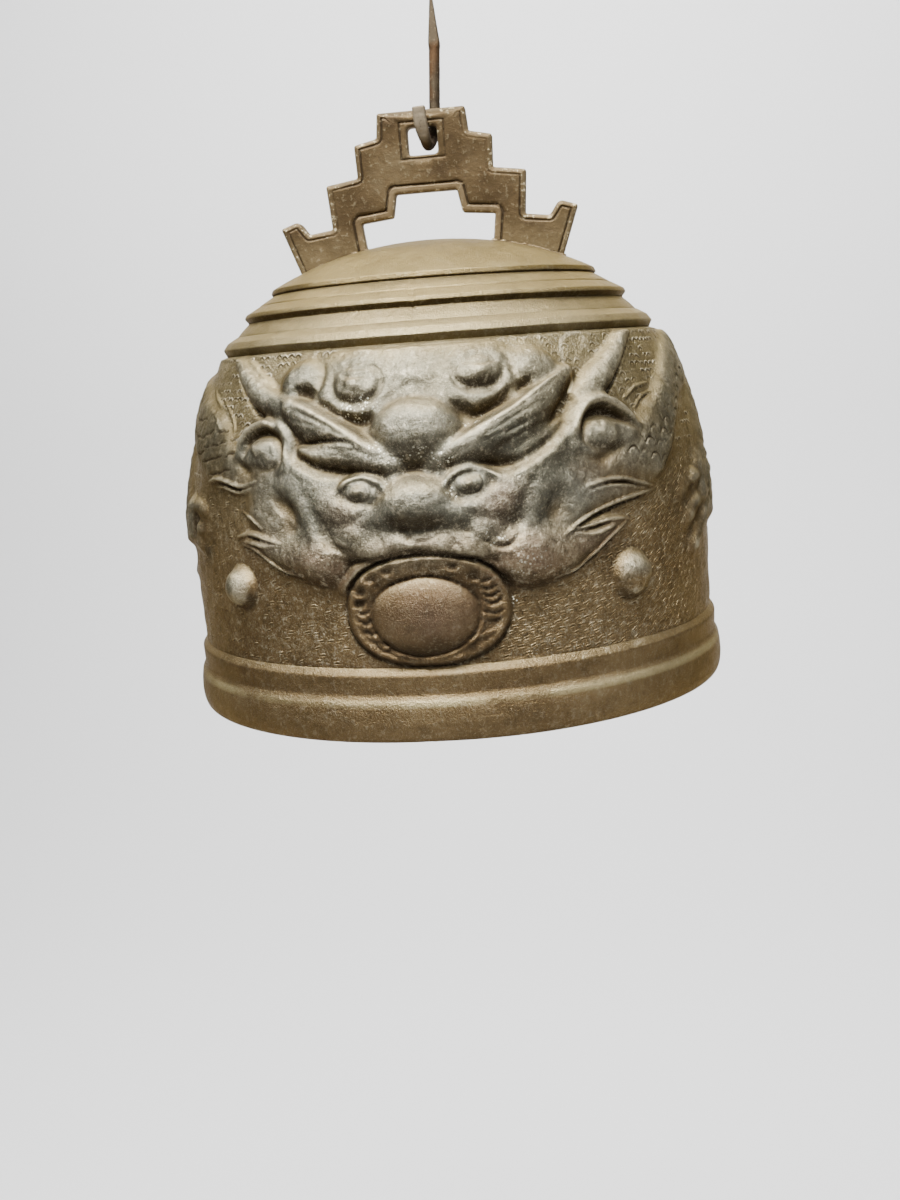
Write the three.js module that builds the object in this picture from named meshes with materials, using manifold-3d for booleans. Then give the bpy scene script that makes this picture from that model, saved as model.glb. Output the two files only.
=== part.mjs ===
// A bronze temple bell on its iron hanging hook.
// Millimetres, +Z up. The front faces -Y and +X is the viewer's right.
// The origin is where the hook's bare shank ends and its tang begins.
import * as THREE from 'three';
import { mergeVertices } from 'three/addons/utils/BufferGeometryUtils.js';
import Module from 'manifold-3d';

const wasm = await Module();
wasm.setup();

// Where the bell hangs, measured from the origin to the middle of the rim's plane.
const RIM_DROP = 237.5;
const AXIS_OFFSET_X = -6.1;
const AXIS_OFFSET_Y = -6.6;

// The bell: radii and heights above the rim.
const LIP_RADIUS = 99.3;
const LOWER_BAND_RADIUS = 101.2;
const LOWER_BAND_TOP = 13.6;
const UPPER_BAND_RADIUS = 99.5;
const UPPER_BAND_TOP = 22.6;
const LEDGE_RISE = 2.6;
const BODY_TOP = 128.6;
const DOME_RADIUS = 60.6;
const DOME_FOOT = 152.6;
const DOME_TOP = 167;
const RIM_WALL = 8;
const BODY_WALL = 5;
const CROWN_WALL = 7;
const ROUND_STEPS = 52;
const INSIDE_STEPS = 32;

// The body's curve as [radius, height above the rim].
const BODY_CURVE = [
  [97.6, 26.4],
  [98, 50],
  [97.9, 68],
  [95.6, 88],
  [91.2, 106],
  [86.6, 118],
  [82, BODY_TOP],
];

// The crest plate: half widths and heights above the rim.
const CREST_THICK = 6;
const CREST_BEVEL = 1;
const CREST_TOP = 214.1;
const TOP_HALF = 16.4;
const STEP_ONE = [25.8, 205.2];
const STEP_TWO = [37.6, 191.6];
const TREAD_FALL = 1.8;
const SLOT_FLOOR = 173.9;
const EAR_INNER = [48.4, 177];
const EAR_OUTER = [56, 175.6];
const FOOT_OUTER = [50, 159];
const WINDOW_TOP = [11.5, 184.8];
const WINDOW_STEP = [25.2, 176.4];
const WINDOW_FOOT_HALF = 24;
const HOOK_HOLE_HALF = 5.6;
const HOOK_HOLE = [198, 208.2];
const HOOK_HOLE_ROUND = 2;
const SEAT_GAP = 0.3;

// The hook: a bent wire with a pointed tang.
const WIRE_DIAMETER = 4.1;
const TANG_WIDTH = 4.4;
const TANG_LENGTH = 20;

// The relief. It is laid out on the skin: u runs round the bell to the viewer's right from the middle of
// a face, as arc length at RELIEF_RADIUS, and v is the height above the rim.
const RELIEF_RADIUS = 98;
const HALF_ROUND = Math.PI * RELIEF_RADIUS;
const MASK_HALF = 88;
const PAW_HEEL = 134;
const FRONT_STEP = 3.1;
const BACK_STEP = 5.8;
const PAW_STEP = 5;
const LEG_STEP = 10;
const MASK_FOOT = 49;
const MASK_ROW = 3.06;
const PLAIN_ROW = 12;
const BLEND = 1.6;
const ROUNDNESS = 0.7;
const FADE = 2;
const ROLL_LEGS = 6;

// The striking disc, the squarish ring round it and the bosses.
const DISC_CENTRE = [0.4, 43.2];
const DISC_HALF = [17.8, 13.6];
const DISC_STAND = 5.6;
const RING_HALF = [28, 18.6];
const RING_STAND = 2.6;
const RING_SQUARENESS = 2.5;
const BOSS_RADIUS = 7.6;
const BOSS_STAND = 6;
const BOSSES = [[-71.6, 51.4], [73.6, 47.8]];

// Solids and meshes

function solidOf(geometry) {
  const bare = geometry.clone();
  bare.deleteAttribute('normal');
  bare.deleteAttribute('uv');
  const merged = mergeVertices(bare, 1e-4);
  const vertProperties = Float32Array.from(merged.attributes.position.array);
  const triVerts = Uint32Array.from(merged.index.array);
  return new wasm.Manifold(new wasm.Mesh({ numProp: 3, vertProperties, triVerts }));
}

function geometryOf(solid) {
  const mesh = solid.getMesh();
  const geometry = new THREE.BufferGeometry();
  geometry.setAttribute('position', new THREE.BufferAttribute(mesh.vertProperties, 3));
  geometry.setIndex(new THREE.BufferAttribute(mesh.triVerts, 1));
  geometry.computeVertexNormals();
  return geometry;
}

// A closed profile of [radius, height] points turned round Z.
function turned(profile, steps = ROUND_STEPS) {
  const points = profile.map(([r, z]) => new THREE.Vector2(r, z));
  return new THREE.LatheGeometry(points, steps).rotateX(Math.PI / 2);
}

// Bell profile

const bodyCurve = new THREE.SplineCurve(BODY_CURVE.map(([r, z]) => new THREE.Vector2(r, z)));
const bodySamples = bodyCurve.getPoints(80);

// Radius and outward slope of the body's skin at a height above the rim.
function skinAt(v) {
  const last = bodySamples.length - 1;
  const found = bodySamples.findIndex((point) => point.y >= v);
  const upper = found < 0 ? last : Math.max(found, 1);
  const a = bodySamples[upper - 1];
  const b = bodySamples[upper];
  const t = THREE.MathUtils.clamp((v - a.y) / (b.y - a.y), 0, 1);
  const normal = new THREE.Vector2(b.y - a.y, a.x - b.x).normalize();
  return { radius: a.x + (b.x - a.x) * t, normal };
}

function domeProfile(radius, foot, top) {
  const points = [];
  for (const share of [1, 0.8, 0.6, 0.4, 0.2, 0]) {
    points.push([radius * share, foot + (top - foot) * (1 - share ** 2.2)]);
  }
  return points;
}

// The rim and its two bands, with a ledge over each. The upper ledge runs on into the body.
function footProfile() {
  const lowerLedge = LOWER_BAND_TOP + LEDGE_RISE;
  const upperLedge = UPPER_BAND_TOP + LEDGE_RISE;
  return [
    [0, 0],
    [LIP_RADIUS, 0],
    [LOWER_BAND_RADIUS - 0.4, 1.6],
    [LOWER_BAND_RADIUS, 5],
    [LOWER_BAND_RADIUS - 0.1, LOWER_BAND_TOP],
    [UPPER_BAND_RADIUS - 0.3, lowerLedge],
    [UPPER_BAND_RADIUS, UPPER_BAND_TOP],
    [BODY_CURVE[0][0] + 0.1, upperLedge],
    [BODY_CURVE[0][0] - 4, upperLedge + 6],
    [0, upperLedge + 6],
  ];
}

// The stepped mouldings and the dome, from the bottom up.
function shoulderProfile() {
  return [
    [0, BODY_TOP - 10],
    [76, BODY_TOP - 10],
    [79.8, BODY_TOP + 0.7],
    [81.0, 131.9],
    [79.0, 134.2],
    [70.4, 141.2],
    [71.7, 143.1],
    [69.6, 145.3],
    [66.3, 147.0],
    [66.0, 147.6],
    [61.2, 149.9],
    [60.0, 150.6],
    [DOME_RADIUS + 0.7, 151.2],
    ...domeProfile(DOME_RADIUS, DOME_FOOT, DOME_TOP),
  ];
}

function innerProfile() {
  const mouth = LOWER_BAND_RADIUS - RIM_WALL;
  const crown = DOME_TOP - CROWN_WALL;
  return [
    [0, -2],
    [mouth, -2],
    [mouth, 3],
    [UPPER_BAND_RADIUS - BODY_WALL - 1.4, 24],
    [98 - BODY_WALL, 50],
    [97.9 - BODY_WALL, 68],
    [95.4 - BODY_WALL, 86],
    [90.8 - BODY_WALL, 104],
    [84.2 - BODY_WALL, 119],
    [75 - BODY_WALL, 130],
    [62 - BODY_WALL, 140],
    [DOME_RADIUS - 14, 149],
    [DOME_RADIUS - 34, crown - 2.6],
    [0, crown],
  ];
}

// Relief: each mass gives its height over the skin at (u, v), which is nothing outside its own edge.

function capHeight(distance, height) {
  return height * Math.max(1 - distance * distance, 0) ** ROUNDNESS;
}

function mound([cu, cv], [ru, rv], height, turn = 0) {
  const cos = Math.cos(THREE.MathUtils.degToRad(turn));
  const sin = Math.sin(THREE.MathUtils.degToRad(turn));
  return (u, v) => {
    const along = ((u - cu) * cos + (v - cv) * sin) / ru;
    const across = ((v - cv) * cos - (u - cu) * sin) / rv;
    return capHeight(Math.hypot(along, across), height);
  };
}

// A value part of the way along a list of evenly spaced ones.
function valueAt(values, share) {
  const place = share * (values.length - 1);
  const first = Math.min(Math.floor(place), values.length - 2);
  return THREE.MathUtils.lerp(values[first], values[first + 1], place - first);
}

// A rounded roll along a smooth line, with half widths and heights spread evenly from its start to its end.
function roll(line, widths, heights) {
  const curve = new THREE.SplineCurve(line.map(([u, v]) => new THREE.Vector2(u, v)));
  const legs = ROLL_LEGS * (line.length - 1);
  const samples = curve.getPoints(legs);
  return (u, v) => {
    const place = new THREE.Vector2(u, v);
    let best = 0;
    for (let i = 0; i < legs; i += 1) {
      const leg = samples[i + 1].clone().sub(samples[i]);
      const along = THREE.MathUtils.clamp(place.clone().sub(samples[i]).dot(leg) / leg.lengthSq(), 0, 1);
      const share = (i + along) / legs;
      const distance = place.distanceTo(samples[i].clone().addScaledVector(leg, along));
      best = Math.max(best, capHeight(distance / valueAt(widths, share), valueAt(heights, share)));
    }
    return best;
  };
}

function softMax(a, b) {
  const overlap = Math.max(BLEND - Math.abs(a - b), 0) / BLEND;
  return Math.max(a, b) + (overlap * overlap * BLEND) / 4;
}

function raise(mass) {
  return (height, u, v) => softMax(height, mass(u, v));
}

function sink(mass) {
  return (height, u, v) => Math.max(height - mass(u, v), 0);
}

// The broad masses: the crown of the head, the face and the cheeks.
const HEAD = [
  mound([0, 116], [55, 13.5], 3.2),
  mound([1, 84], [50, 26], 3.6),
  mound([0, 73], [31, 15], 5),
  mound([-37, 76], [13, 12], 4),
  mound([38, 76], [14, 12], 4),
];

const JOWLS = [
  roll([[-49, 95], [-35, 84.8], [-20.6, 75.6], [-12, 74]], [4.4, 8, 7, 5], [3.6, 6.4, 6.6, 5]),
  roll([[54, 98], [36.8, 86], [21, 76], [12, 74.4]], [4.4, 8, 7, 5], [3.6, 6.4, 6.6, 5]),
  roll([[-48, 85.6], [-39.8, 81.6], [-33.4, 69], [-29.4, 65]], [3.4, 3.8, 3.6, 4], [4.8, 6.4, 6, 5.6]),
  roll([[50, 82], [39.4, 80], [33.4, 67.6]], [3.8, 4.4, 4], [4.4, 5.8, 5.4]),
  mound([-35, 62], [15, 10], 6, -8),
  mound([-33, 61.2], [9.6, 8], 7.6, -10),
  mound([36, 60], [17, 12], 6.2, 6),
  mound([33, 60.2], [12, 9.8], 7.8, 10),
];

const BROW = [
  mound([0.6, 103], [16, 11], 9.6),
  roll([[-7, 91], [-20, 98.8], [-36, 106], [-54, 114.8]], [4.2, 6.8, 5.8, 3], [6.8, 7.4, 6.4, 3.4]),
  roll([[-7, 89.4], [-22, 94.2], [-39, 98.6]], [3.4, 4.4, 2.6], [6.4, 7, 4.2]),
  roll([[7, 91.4], [20, 98.4], [38, 105.6], [56, 115.2]], [4.2, 6.8, 6, 3.2], [6.8, 7.4, 6.6, 3.6]),
  roll([[9, 90], [26, 94.2], [44, 99.6], [52, 105]], [3.6, 4.8, 3.8, 2.4], [6.4, 7.2, 5.6, 3.8]),
];

const SOCKETS = [
  mound([-17.6, 85], [8.8, 5.9], 2.6),
  mound([16.4, 85.6], [8.8, 5.9], 2.6),
  roll([[-4, 86.4], [-19, 89.4], [-37, 94], [-55, 108.6]], [2.6, 2.6, 2.4, 1.6], [2.2, 3, 2.8, 1.2]),
  roll([[4, 86.6], [20, 89.6], [40, 91.6], [57, 102.6]], [2.6, 2.6, 2.4, 1.6], [2.2, 3, 2.8, 1.2]),
];

const FEATURES = [
  mound([-17.6, 83.8], [6.8, 5], 7),
  mound([16.4, 84.4], [6.8, 5], 7),
  mound([0.6, 79.8], [10.4, 8.8], 11),
  mound([-0.4, 77.4], [14, 8.4], 10),
  mound([-10.2, 75], [6.2, 5.4], 8.2),
  mound([9, 74.6], [6, 5.4], 8.2),
  roll([[-28, 66.6], [-14, 65.6], [0, 67], [15, 65.4], [29, 65.2]], [3.6, 4.8, 4.2, 4.8, 3.4],
    [5, 6.8, 6.6, 6.8, 5]),
];

const HAIR = [
  mound([-20.6, 115.4], [13.4, 11], 4.8),
  mound([22.5, 115.4], [14.4, 10.8], 4.8),
  mound([-43.6, 118.6], [9, 6.6], 5.2),
  mound([43.6, 118.2], [9.4, 6.8], 5.2),
  roll([[-31, 117], [-25.4, 109.6], [-12, 111.4], [-9.4, 119]], [3, 4.2, 3.6, 2.4], [4.4, 5.8, 5.2, 4.2]),
  roll([[11, 117], [21.4, 110.4], [34.4, 117.4]], [2.4, 3.8, 2.4], [4.4, 6.2, 4.2]),
];

const HAIR_FOLDS = [
  roll([[-28.6, 119], [-20.6, 112.3], [-11.8, 118]], [1.8, 2.2, 1.8], [1.4, 3, 1.4]),
  roll([[-33.6, 111], [-21, 104.6], [-14, 106]], [1.8, 2.4, 1.6], [1.4, 2.6, 1.2]),
  roll([[14, 119], [24, 114.2], [31, 117]], [1.8, 2.4, 1.8], [1.6, 3.4, 1.4]),
  roll([[12.6, 108.4], [26, 106.6], [37, 114]], [1.8, 2.4, 1.6], [1.4, 2.8, 1]),
];

const CURLS = [
  mound([-20, 117.7], [8.6, 4.8], 7.2),
  mound([24.4, 119.9], [8.6, 5], 7.2),
];

const HORNS = [
  roll([[-89, 128.4], [-74, 120.8], [-60, 113.6], [-52, 110]], [2.2, 3.8, 4.8, 4.2], [2.2, 4.2, 4.8, 3.8]),
  roll([[98, 129], [82, 119.6], [68, 111.6], [60, 107.4]], [2.9, 4, 5, 4.2], [2.8, 4.4, 4.8, 3.8]),
];

const EARS = [
  mound([-57, 97.6], [13.8, 9], 5.6, 4),
  mound([68, 97.6], [16, 9.6], 5.6),
];

const EAR_HOLLOWS = [
  mound([-57, 96.8], [9.8, 5.8], 3.8, 4),
  mound([68.4, 96], [11.2, 6.2], 3.8),
];

const EAR_LOBES = [
  mound([-56.8, 96.4], [6.4, 4], 5.4),
  mound([68.4, 95.4], [7.8, 4], 5.2),
];

// The leaf-shaped locks beside the face.
const MANE = [
  roll([[-90, 86], [-74, 86.4], [-56, 85]], [1.6, 4, 7], [1.2, 2.3, 3]),
  roll([[-69, 77], [-58, 74], [-46, 74]], [2, 5, 7], [1.4, 2.7, 3.2]),
  roll([[-72, 67.8], [-58, 65.8], [-43, 62.4]], [1.8, 4.4, 6.6], [1.6, 3.4, 4.6]),
  roll([[87, 75.6], [70, 77.4], [52, 74]], [1.8, 4.4, 7], [1.4, 2.7, 3.4]),
  roll([[72, 66.4], [58, 62.6], [42, 57]], [1.8, 4.6, 7], [1.6, 3.6, 4.8]),
  roll([[64, 86], [54, 82], [48, 74]], [6, 8, 8], [2.4, 3, 3.2]),
];

// The beast's scaly bodies behind its ears, and a paw on each flank.
const BODIES = [
  roll([[-150, 116], [-122, 109], [-98, 101], [-76, 94]], [10, 11, 11, 6], [2.6, 2.8, 2.6, 2.2]),
  roll([[150, 123], [124, 113], [100, 98], [74, 87]], [9, 11, 11, 5], [3, 3.2, 3.2, 2.4]),
  roll([[-152, 112], [-138, 87], [-130, 78]], [9, 9, 8], [2.8, 3.2, 3.6]),
  roll([[152, 112], [134, 88], [127, 78]], [9, 9, 8], [2.8, 3.2, 3.8]),
  mound([-137, 72], [17, 13], 4),
  mound([136, 71], [17, 14], 4.2),
];

const TOES = [
  roll([[-134, 77], [-108, 79.8], [-93, 76.4]], [3.4, 3.4, 1.4], [4, 4.6, 1.6]),
  roll([[-134, 71], [-110, 73.8], [-95, 70.4]], [3.4, 3.4, 1.4], [4, 4.6, 1.6]),
  roll([[-134, 65], [-114, 67.4], [-99, 65]], [3.4, 3.4, 1.4], [4, 4.6, 1.6]),
  roll([[134, 79], [116, 75.8], [104.4, 70]], [3.4, 3.4, 1.4], [4.2, 4.8, 1.6]),
  roll([[134, 72], [118, 68.6], [107.8, 61]], [3.4, 3.4, 1.4], [4.2, 4.8, 1.6]),
  roll([[134, 65], [120, 59.6], [111.4, 50]], [3.4, 3.4, 1.4], [4.2, 4.8, 1.6]),
];

// What is carved later lies over, or bites into, what was carved before it.
const CARVING = [
  ...[...BODIES, ...TOES, ...HEAD, ...MANE, ...JOWLS, ...EARS].map(raise),
  ...EAR_HOLLOWS.map(sink),
  ...[...EAR_LOBES, ...HAIR].map(raise),
  ...HAIR_FOLDS.map(sink),
  ...[...CURLS, ...HORNS, ...BROW].map(raise),
  ...SOCKETS.map(sink),
  ...FEATURES.map(raise),
];

function reliefHeight(u, v) {
  const rise = CARVING.reduce((height, cut) => cut(height, u, v), 0);
  return rise * (1 - THREE.MathUtils.smoothstep(v, BODY_TOP - FADE, BODY_TOP));
}

// A place on the skin, lifted by a height, with u = 0 facing -Y.
function onSkin(u, v, lift) {
  const { radius, normal } = skinAt(v);
  const reach = radius + normal.x * lift;
  const angle = u / RELIEF_RADIUS;
  return [Math.sin(angle) * reach, -Math.cos(angle) * reach, v + normal.y * lift];
}

function steppedRange(from, to, step) {
  const count = Math.round((to - from) / step);
  return Array.from({ length: count }, (_, index) => THREE.MathUtils.lerp(from, to, index / count));
}

// Places round the bell: close together over the front mask, wider over the back one and the flanks.
function reliefColumns() {
  const stretches = [
    [-MASK_HALF, FRONT_STEP],
    [MASK_HALF, PAW_STEP],
    [PAW_HEEL, LEG_STEP],
    [HALF_ROUND - PAW_HEEL, PAW_STEP],
    [HALF_ROUND - MASK_HALF, BACK_STEP],
    [HALF_ROUND + MASK_HALF, PAW_STEP],
    [HALF_ROUND + PAW_HEEL, LEG_STEP],
    [2 * HALF_ROUND - PAW_HEEL, PAW_STEP],
  ];
  const ends = [...stretches.slice(1).map(([from]) => from), 2 * HALF_ROUND - MASK_HALF];
  return stretches.flatMap(([from, step], index) => steppedRange(from, ends[index], step));
}

function reliefRows() {
  const plain = steppedRange(BODY_CURVE[0][1] - 2, MASK_FOOT, PLAIN_ROW);
  return [...plain, ...steppedRange(MASK_FOOT, BODY_TOP, MASK_ROW)];
}

// The same ornament faces the front and the back: u is counted from whichever face is nearer.
function foldedRound(u) {
  return u - Math.round(u / HALF_ROUND) * HALF_ROUND;
}

// Two triangles over four corners, given going round, split so that the crease follows the ridge.
function quad(a, b, c, d) {
  if (Math.abs(a.lift - c.lift) < Math.abs(b.lift - d.lift)) {
    return [...a.point, ...b.point, ...c.point, ...a.point, ...c.point, ...d.point];
  }
  return [...a.point, ...b.point, ...d.point, ...b.point, ...c.point, ...d.point];
}

// The body between the bands and the shoulder, solid, with its relief.
function bodySolid() {
  const rows = [...reliefRows(), BODY_TOP];
  const top = rows.length - 1;
  const grid = reliefColumns().map((u) => rows.map((v) => {
    const lift = reliefHeight(foldedRound(u), v);
    return { lift, point: onSkin(u, v, lift) };
  }));
  const positions = [];
  grid.forEach((column, i) => {
    const next = grid[(i + 1) % grid.length];
    for (let j = 0; j < top; j += 1) {
      positions.push(...quad(column[j], next[j], next[j + 1], column[j + 1]));
    }
    positions.push(0, 0, rows[0], ...next[0].point, ...column[0].point);
    positions.push(0, 0, BODY_TOP, ...column[top].point, ...next[top].point);
  });
  const geometry = new THREE.BufferGeometry();
  geometry.setAttribute('position', new THREE.Float32BufferAttribute(positions, 3));
  return solidOf(geometry);
}

// Pushes the circles of a turned shape towards squares: 2 keeps them round.
function squared(shape, squareness) {
  const place = shape.attributes.position;
  for (let i = 0; i < place.count; i += 1) {
    const [x, y] = [place.getX(i), place.getY(i)];
    const radius = Math.hypot(x, y);
    const side = (Math.abs(x) ** squareness + Math.abs(y) ** squareness) ** (1 / squareness);
    const stretch = radius > 0 ? radius / side : 1;
    place.setXY(i, x * stretch, y * stretch);
  }
  return shape;
}

// An ornament set on the skin at (u, v), one unit across its half width and millimetres high.
function setOnSkin(shape, [u, v], [halfWide, halfHigh]) {
  const { radius, normal } = skinAt(v);
  shape.scale(halfWide, halfHigh, 1);
  shape.rotateX(Math.PI / 2 - Math.atan2(normal.y, normal.x));
  shape.translate(0, -radius, v);
  shape.rotateZ(u / RELIEF_RADIUS);
  return solidOf(shape);
}

function strikingDisc() {
  const ring = turned([[0, -5], [1, -5], [1, 0.6], [0.93, RING_STAND], [0, RING_STAND]], 28);
  const disc = turned([[0, -2], [1, -2], [1, 3], [0.88, 4.6], [0.5, 5.3], [0, DISC_STAND]], 24);
  return setOnSkin(squared(ring, RING_SQUARENESS), DISC_CENTRE, RING_HALF)
    .add(setOnSkin(disc, DISC_CENTRE, DISC_HALF));
}

function boss(place) {
  const profile = [[0, -2], [1, -2], [1, 0.6], [0.84, 3.4], [0.48, BOSS_STAND - 0.8], [0, BOSS_STAND]];
  return setOnSkin(turned(profile, 12), place, [BOSS_RADIUS, BOSS_RADIUS]);
}

function faceOrnament() {
  return BOSSES.reduce((solid, place) => solid.add(boss(place)), strikingDisc());
}

function bellShell() {
  const foot = solidOf(turned(footProfile()));
  const shoulder = solidOf(turned(shoulderProfile()));
  const face = faceOrnament();
  const outside = bodySolid().add(foot).add(shoulder).add(face).add(face.rotate([0, 0, 180]));
  return outside.subtract(solidOf(turned(innerProfile(), INSIDE_STEPS)));
}

// Crest

function crestOutline() {
  const half = [
    [TOP_HALF, CREST_TOP],
    [TOP_HALF + 0.8, STEP_ONE[1]],
    [STEP_ONE[0], STEP_ONE[1] - TREAD_FALL],
    [STEP_ONE[0] - 0.4, STEP_TWO[1]],
    [STEP_TWO[0], STEP_TWO[1] - TREAD_FALL],
    [STEP_TWO[0] - 1.2, SLOT_FLOOR],
    [EAR_INNER[0] - 3, SLOT_FLOOR - 1.2],
    EAR_INNER,
    [EAR_INNER[0] + 1.6, EAR_INNER[1] + 0.6],
    EAR_OUTER,
    FOOT_OUTER,
    [FOOT_OUTER[0] - 2, DOME_FOOT],
    [WINDOW_FOOT_HALF, DOME_FOOT],
    [WINDOW_STEP[0], WINDOW_STEP[1] - 1.2],
    [WINDOW_TOP[0] + 1.6, WINDOW_STEP[1]],
    WINDOW_TOP,
  ];
  const mirrored = half.map(([x, z]) => [-x, z]).reverse();
  return new THREE.Shape([...half, ...mirrored].map(([x, z]) => new THREE.Vector2(x, z)));
}

function hookHole() {
  const [low, high] = HOOK_HOLE;
  const hole = new THREE.Path();
  const w = HOOK_HOLE_HALF;
  const r = HOOK_HOLE_ROUND;
  hole.moveTo(-w + r, low);
  hole.lineTo(w - r, low);
  hole.absarc(w - r, low + r, r, -Math.PI / 2, 0);
  hole.lineTo(w, high - r);
  hole.absarc(w - r, high - r, r, 0, Math.PI / 2);
  hole.lineTo(-w + r, high);
  hole.absarc(-w + r, high - r, r, Math.PI / 2, Math.PI);
  hole.lineTo(-w, low + r);
  hole.absarc(-w + r, low + r, r, Math.PI, Math.PI * 1.5);
  return hole;
}

function crest() {
  const shape = crestOutline();
  shape.holes.push(hookHole());
  const plate = new THREE.ExtrudeGeometry(shape, {
    depth: CREST_THICK - 2 * CREST_BEVEL,
    bevelEnabled: true,
    bevelThickness: CREST_BEVEL,
    bevelSize: CREST_BEVEL,
    bevelOffset: -CREST_BEVEL,
    bevelSegments: 1,
    curveSegments: 4,
  });
  plate.translate(0, 0, -CREST_THICK / 2 + CREST_BEVEL);
  plate.rotateX(Math.PI / 2);
  const crown = [[0, 100], ...domeProfile(DOME_RADIUS, DOME_FOOT + SEAT_GAP, DOME_TOP + SEAT_GAP)];
  crown.splice(1, 0, [DOME_RADIUS, 100]);
  return solidOf(plate).subtract(solidOf(turned(crown)));
}

// Hook, laid out from the bell's axis and the rim's plane

const HOOK_LINE = [
  [6.1, 6.6, RIM_DROP],
  [5.5, 6.7, 229],
  [4.8, 6.6, 219],
  [4.3, 6.2, 211],
  [3.6, 5.2, 206.2],
  [2.8, 3.4, 203.2],
  [1.8, 0, 201.6],
  [1.3, -3.4, 203.2],
  [0.7, -5.3, 206.4],
  [0.2, -6.2, 210.4],
  [0, -6.6, 215],
];

function hook() {
  const centre = new THREE.CatmullRomCurve3(HOOK_LINE.map(([x, y, z]) => new THREE.Vector3(x, y, z)));
  const round = new THREE.Shape();
  round.absarc(0, 0, WIRE_DIAMETER / 2, 0, Math.PI * 2);
  const wire = new THREE.ExtrudeGeometry(round, { steps: 44, extrudePath: centre, curveSegments: 6 });
  const tang = new THREE.CylinderGeometry(0.5, TANG_WIDTH / Math.SQRT2, TANG_LENGTH, 4);
  tang.rotateX(Math.PI / 2).rotateZ(Math.PI / 4);
  tang.translate(HOOK_LINE[0][0], HOOK_LINE[0][1], RIM_DROP + TANG_LENGTH / 2 - 0.5);
  return solidOf(wire).add(solidOf(tang));
}

// Assembly

const bronze = new THREE.MeshStandardMaterial({ color: 0x6f6552, roughness: 0.55, metalness: 0.8 });
const crestBronze = new THREE.MeshStandardMaterial({ color: 0x7c6f5c, roughness: 0.6, metalness: 0.75 });
const iron = new THREE.MeshStandardMaterial({ color: 0x3b342c, roughness: 0.7, metalness: 0.7 });

function named(name, solid, material) {
  const mesh = new THREE.Mesh(geometryOf(solid), material);
  mesh.name = name;
  return mesh;
}

const bell = new THREE.Group();
bell.add(named('bell_shell', bellShell(), bronze));
bell.add(named('crest', crest(), crestBronze));
bell.add(named('hook', hook(), iron));
bell.position.set(AXIS_OFFSET_X, AXIS_OFFSET_Y, -RIM_DROP);

const assembly = new THREE.Group();
assembly.add(bell);
assembly.updateMatrixWorld(true);

export default assembly;
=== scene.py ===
"""A bronze temple bell with a beast mask in relief, hanging by its crest plate from an iron hook."""
import math

import bpy
import numpy as np
from mathutils import Matrix, Vector
from mathutils.geometry import delaunay_2d_cdt


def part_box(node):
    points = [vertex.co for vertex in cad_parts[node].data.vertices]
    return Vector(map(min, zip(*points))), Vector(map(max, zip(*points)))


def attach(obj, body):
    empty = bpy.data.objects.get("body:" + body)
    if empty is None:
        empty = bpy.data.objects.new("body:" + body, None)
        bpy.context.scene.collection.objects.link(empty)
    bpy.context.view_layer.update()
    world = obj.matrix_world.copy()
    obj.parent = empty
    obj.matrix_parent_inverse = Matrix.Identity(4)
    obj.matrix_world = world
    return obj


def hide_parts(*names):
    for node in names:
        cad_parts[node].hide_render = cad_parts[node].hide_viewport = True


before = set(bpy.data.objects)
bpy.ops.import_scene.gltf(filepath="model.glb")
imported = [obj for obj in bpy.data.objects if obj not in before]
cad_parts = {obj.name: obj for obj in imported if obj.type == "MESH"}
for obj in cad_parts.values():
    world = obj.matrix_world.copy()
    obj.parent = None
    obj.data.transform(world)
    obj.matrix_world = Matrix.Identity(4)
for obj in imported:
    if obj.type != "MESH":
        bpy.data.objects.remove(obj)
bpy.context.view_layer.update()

MM = 0.001

# Where the bell stands in the frame: its axis runs up the middle of the crest, from the rim's plane.
crest_low, crest_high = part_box("crest")
AXIS_X = (crest_low[0] + crest_high[0]) / 2
AXIS_Y = (crest_low[1] + crest_high[1]) / 2
RIM_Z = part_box("bell_shell")[0][2]

# For each kind of piece: the body it rides on, the node it stands for and its material slot.
SHELL = ("bell", "bell_shell", "bronze")
CREST = ("bell", "crest", "crest_bronze")
HOOK = ("rail_hook", "hook", "iron")

# The shell's sizes in millimetres, as radius and height above the rim.
LIP_RADIUS = 99.3
LOWER_BAND_RADIUS = 101.2
LOWER_BAND_TOP = 13.6
UPPER_BAND_RADIUS = 99.5
UPPER_BAND_TOP = 22.6
LEDGE_RISE = 2.6
BODY_FOOT = UPPER_BAND_TOP + LEDGE_RISE
BODY_TOP = 128.6
BODY_CURVE = [(97.7, BODY_FOOT), (98.0, 50), (97.9, 68), (95.6, 88), (91.2, 106), (86.6, 118),
    (82.0, BODY_TOP)]
DOME_RADIUS = 60.6
DOME_FOOT = 152.6
DOME_TOP = 167.0
DOME_FULLNESS = 2.2

# How a turned casting is cut up and how uneven it is.
CAST_STEPS = 480
CAST_LEG = 1.6
CAST_DRIFT = 9
CAST_WOBBLE = 0.12

# The relief's skin: u runs round the bell as arc length at this radius, v is the height above the rim.
RELIEF_RADIUS = 98.0
HALF_ROUND = math.pi * RELIEF_RADIUS
MASK_HALF = 88.0
MASK_STEP = 0.45
SEAM_TUCK = 0.965
SEAM_RISE = 0.9
BROAD_HOLLOW = 2.8
FINE_HOLLOW = 1.1
MARK_SHARE = 0.8
OUTLINE_MARGIN = 4
CRACK_WANDER = 0.22
PAW_REACH = LOWER_BAND_RADIUS - 0.15

rng = np.random.default_rng(7)


# Lines and number fields

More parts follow.
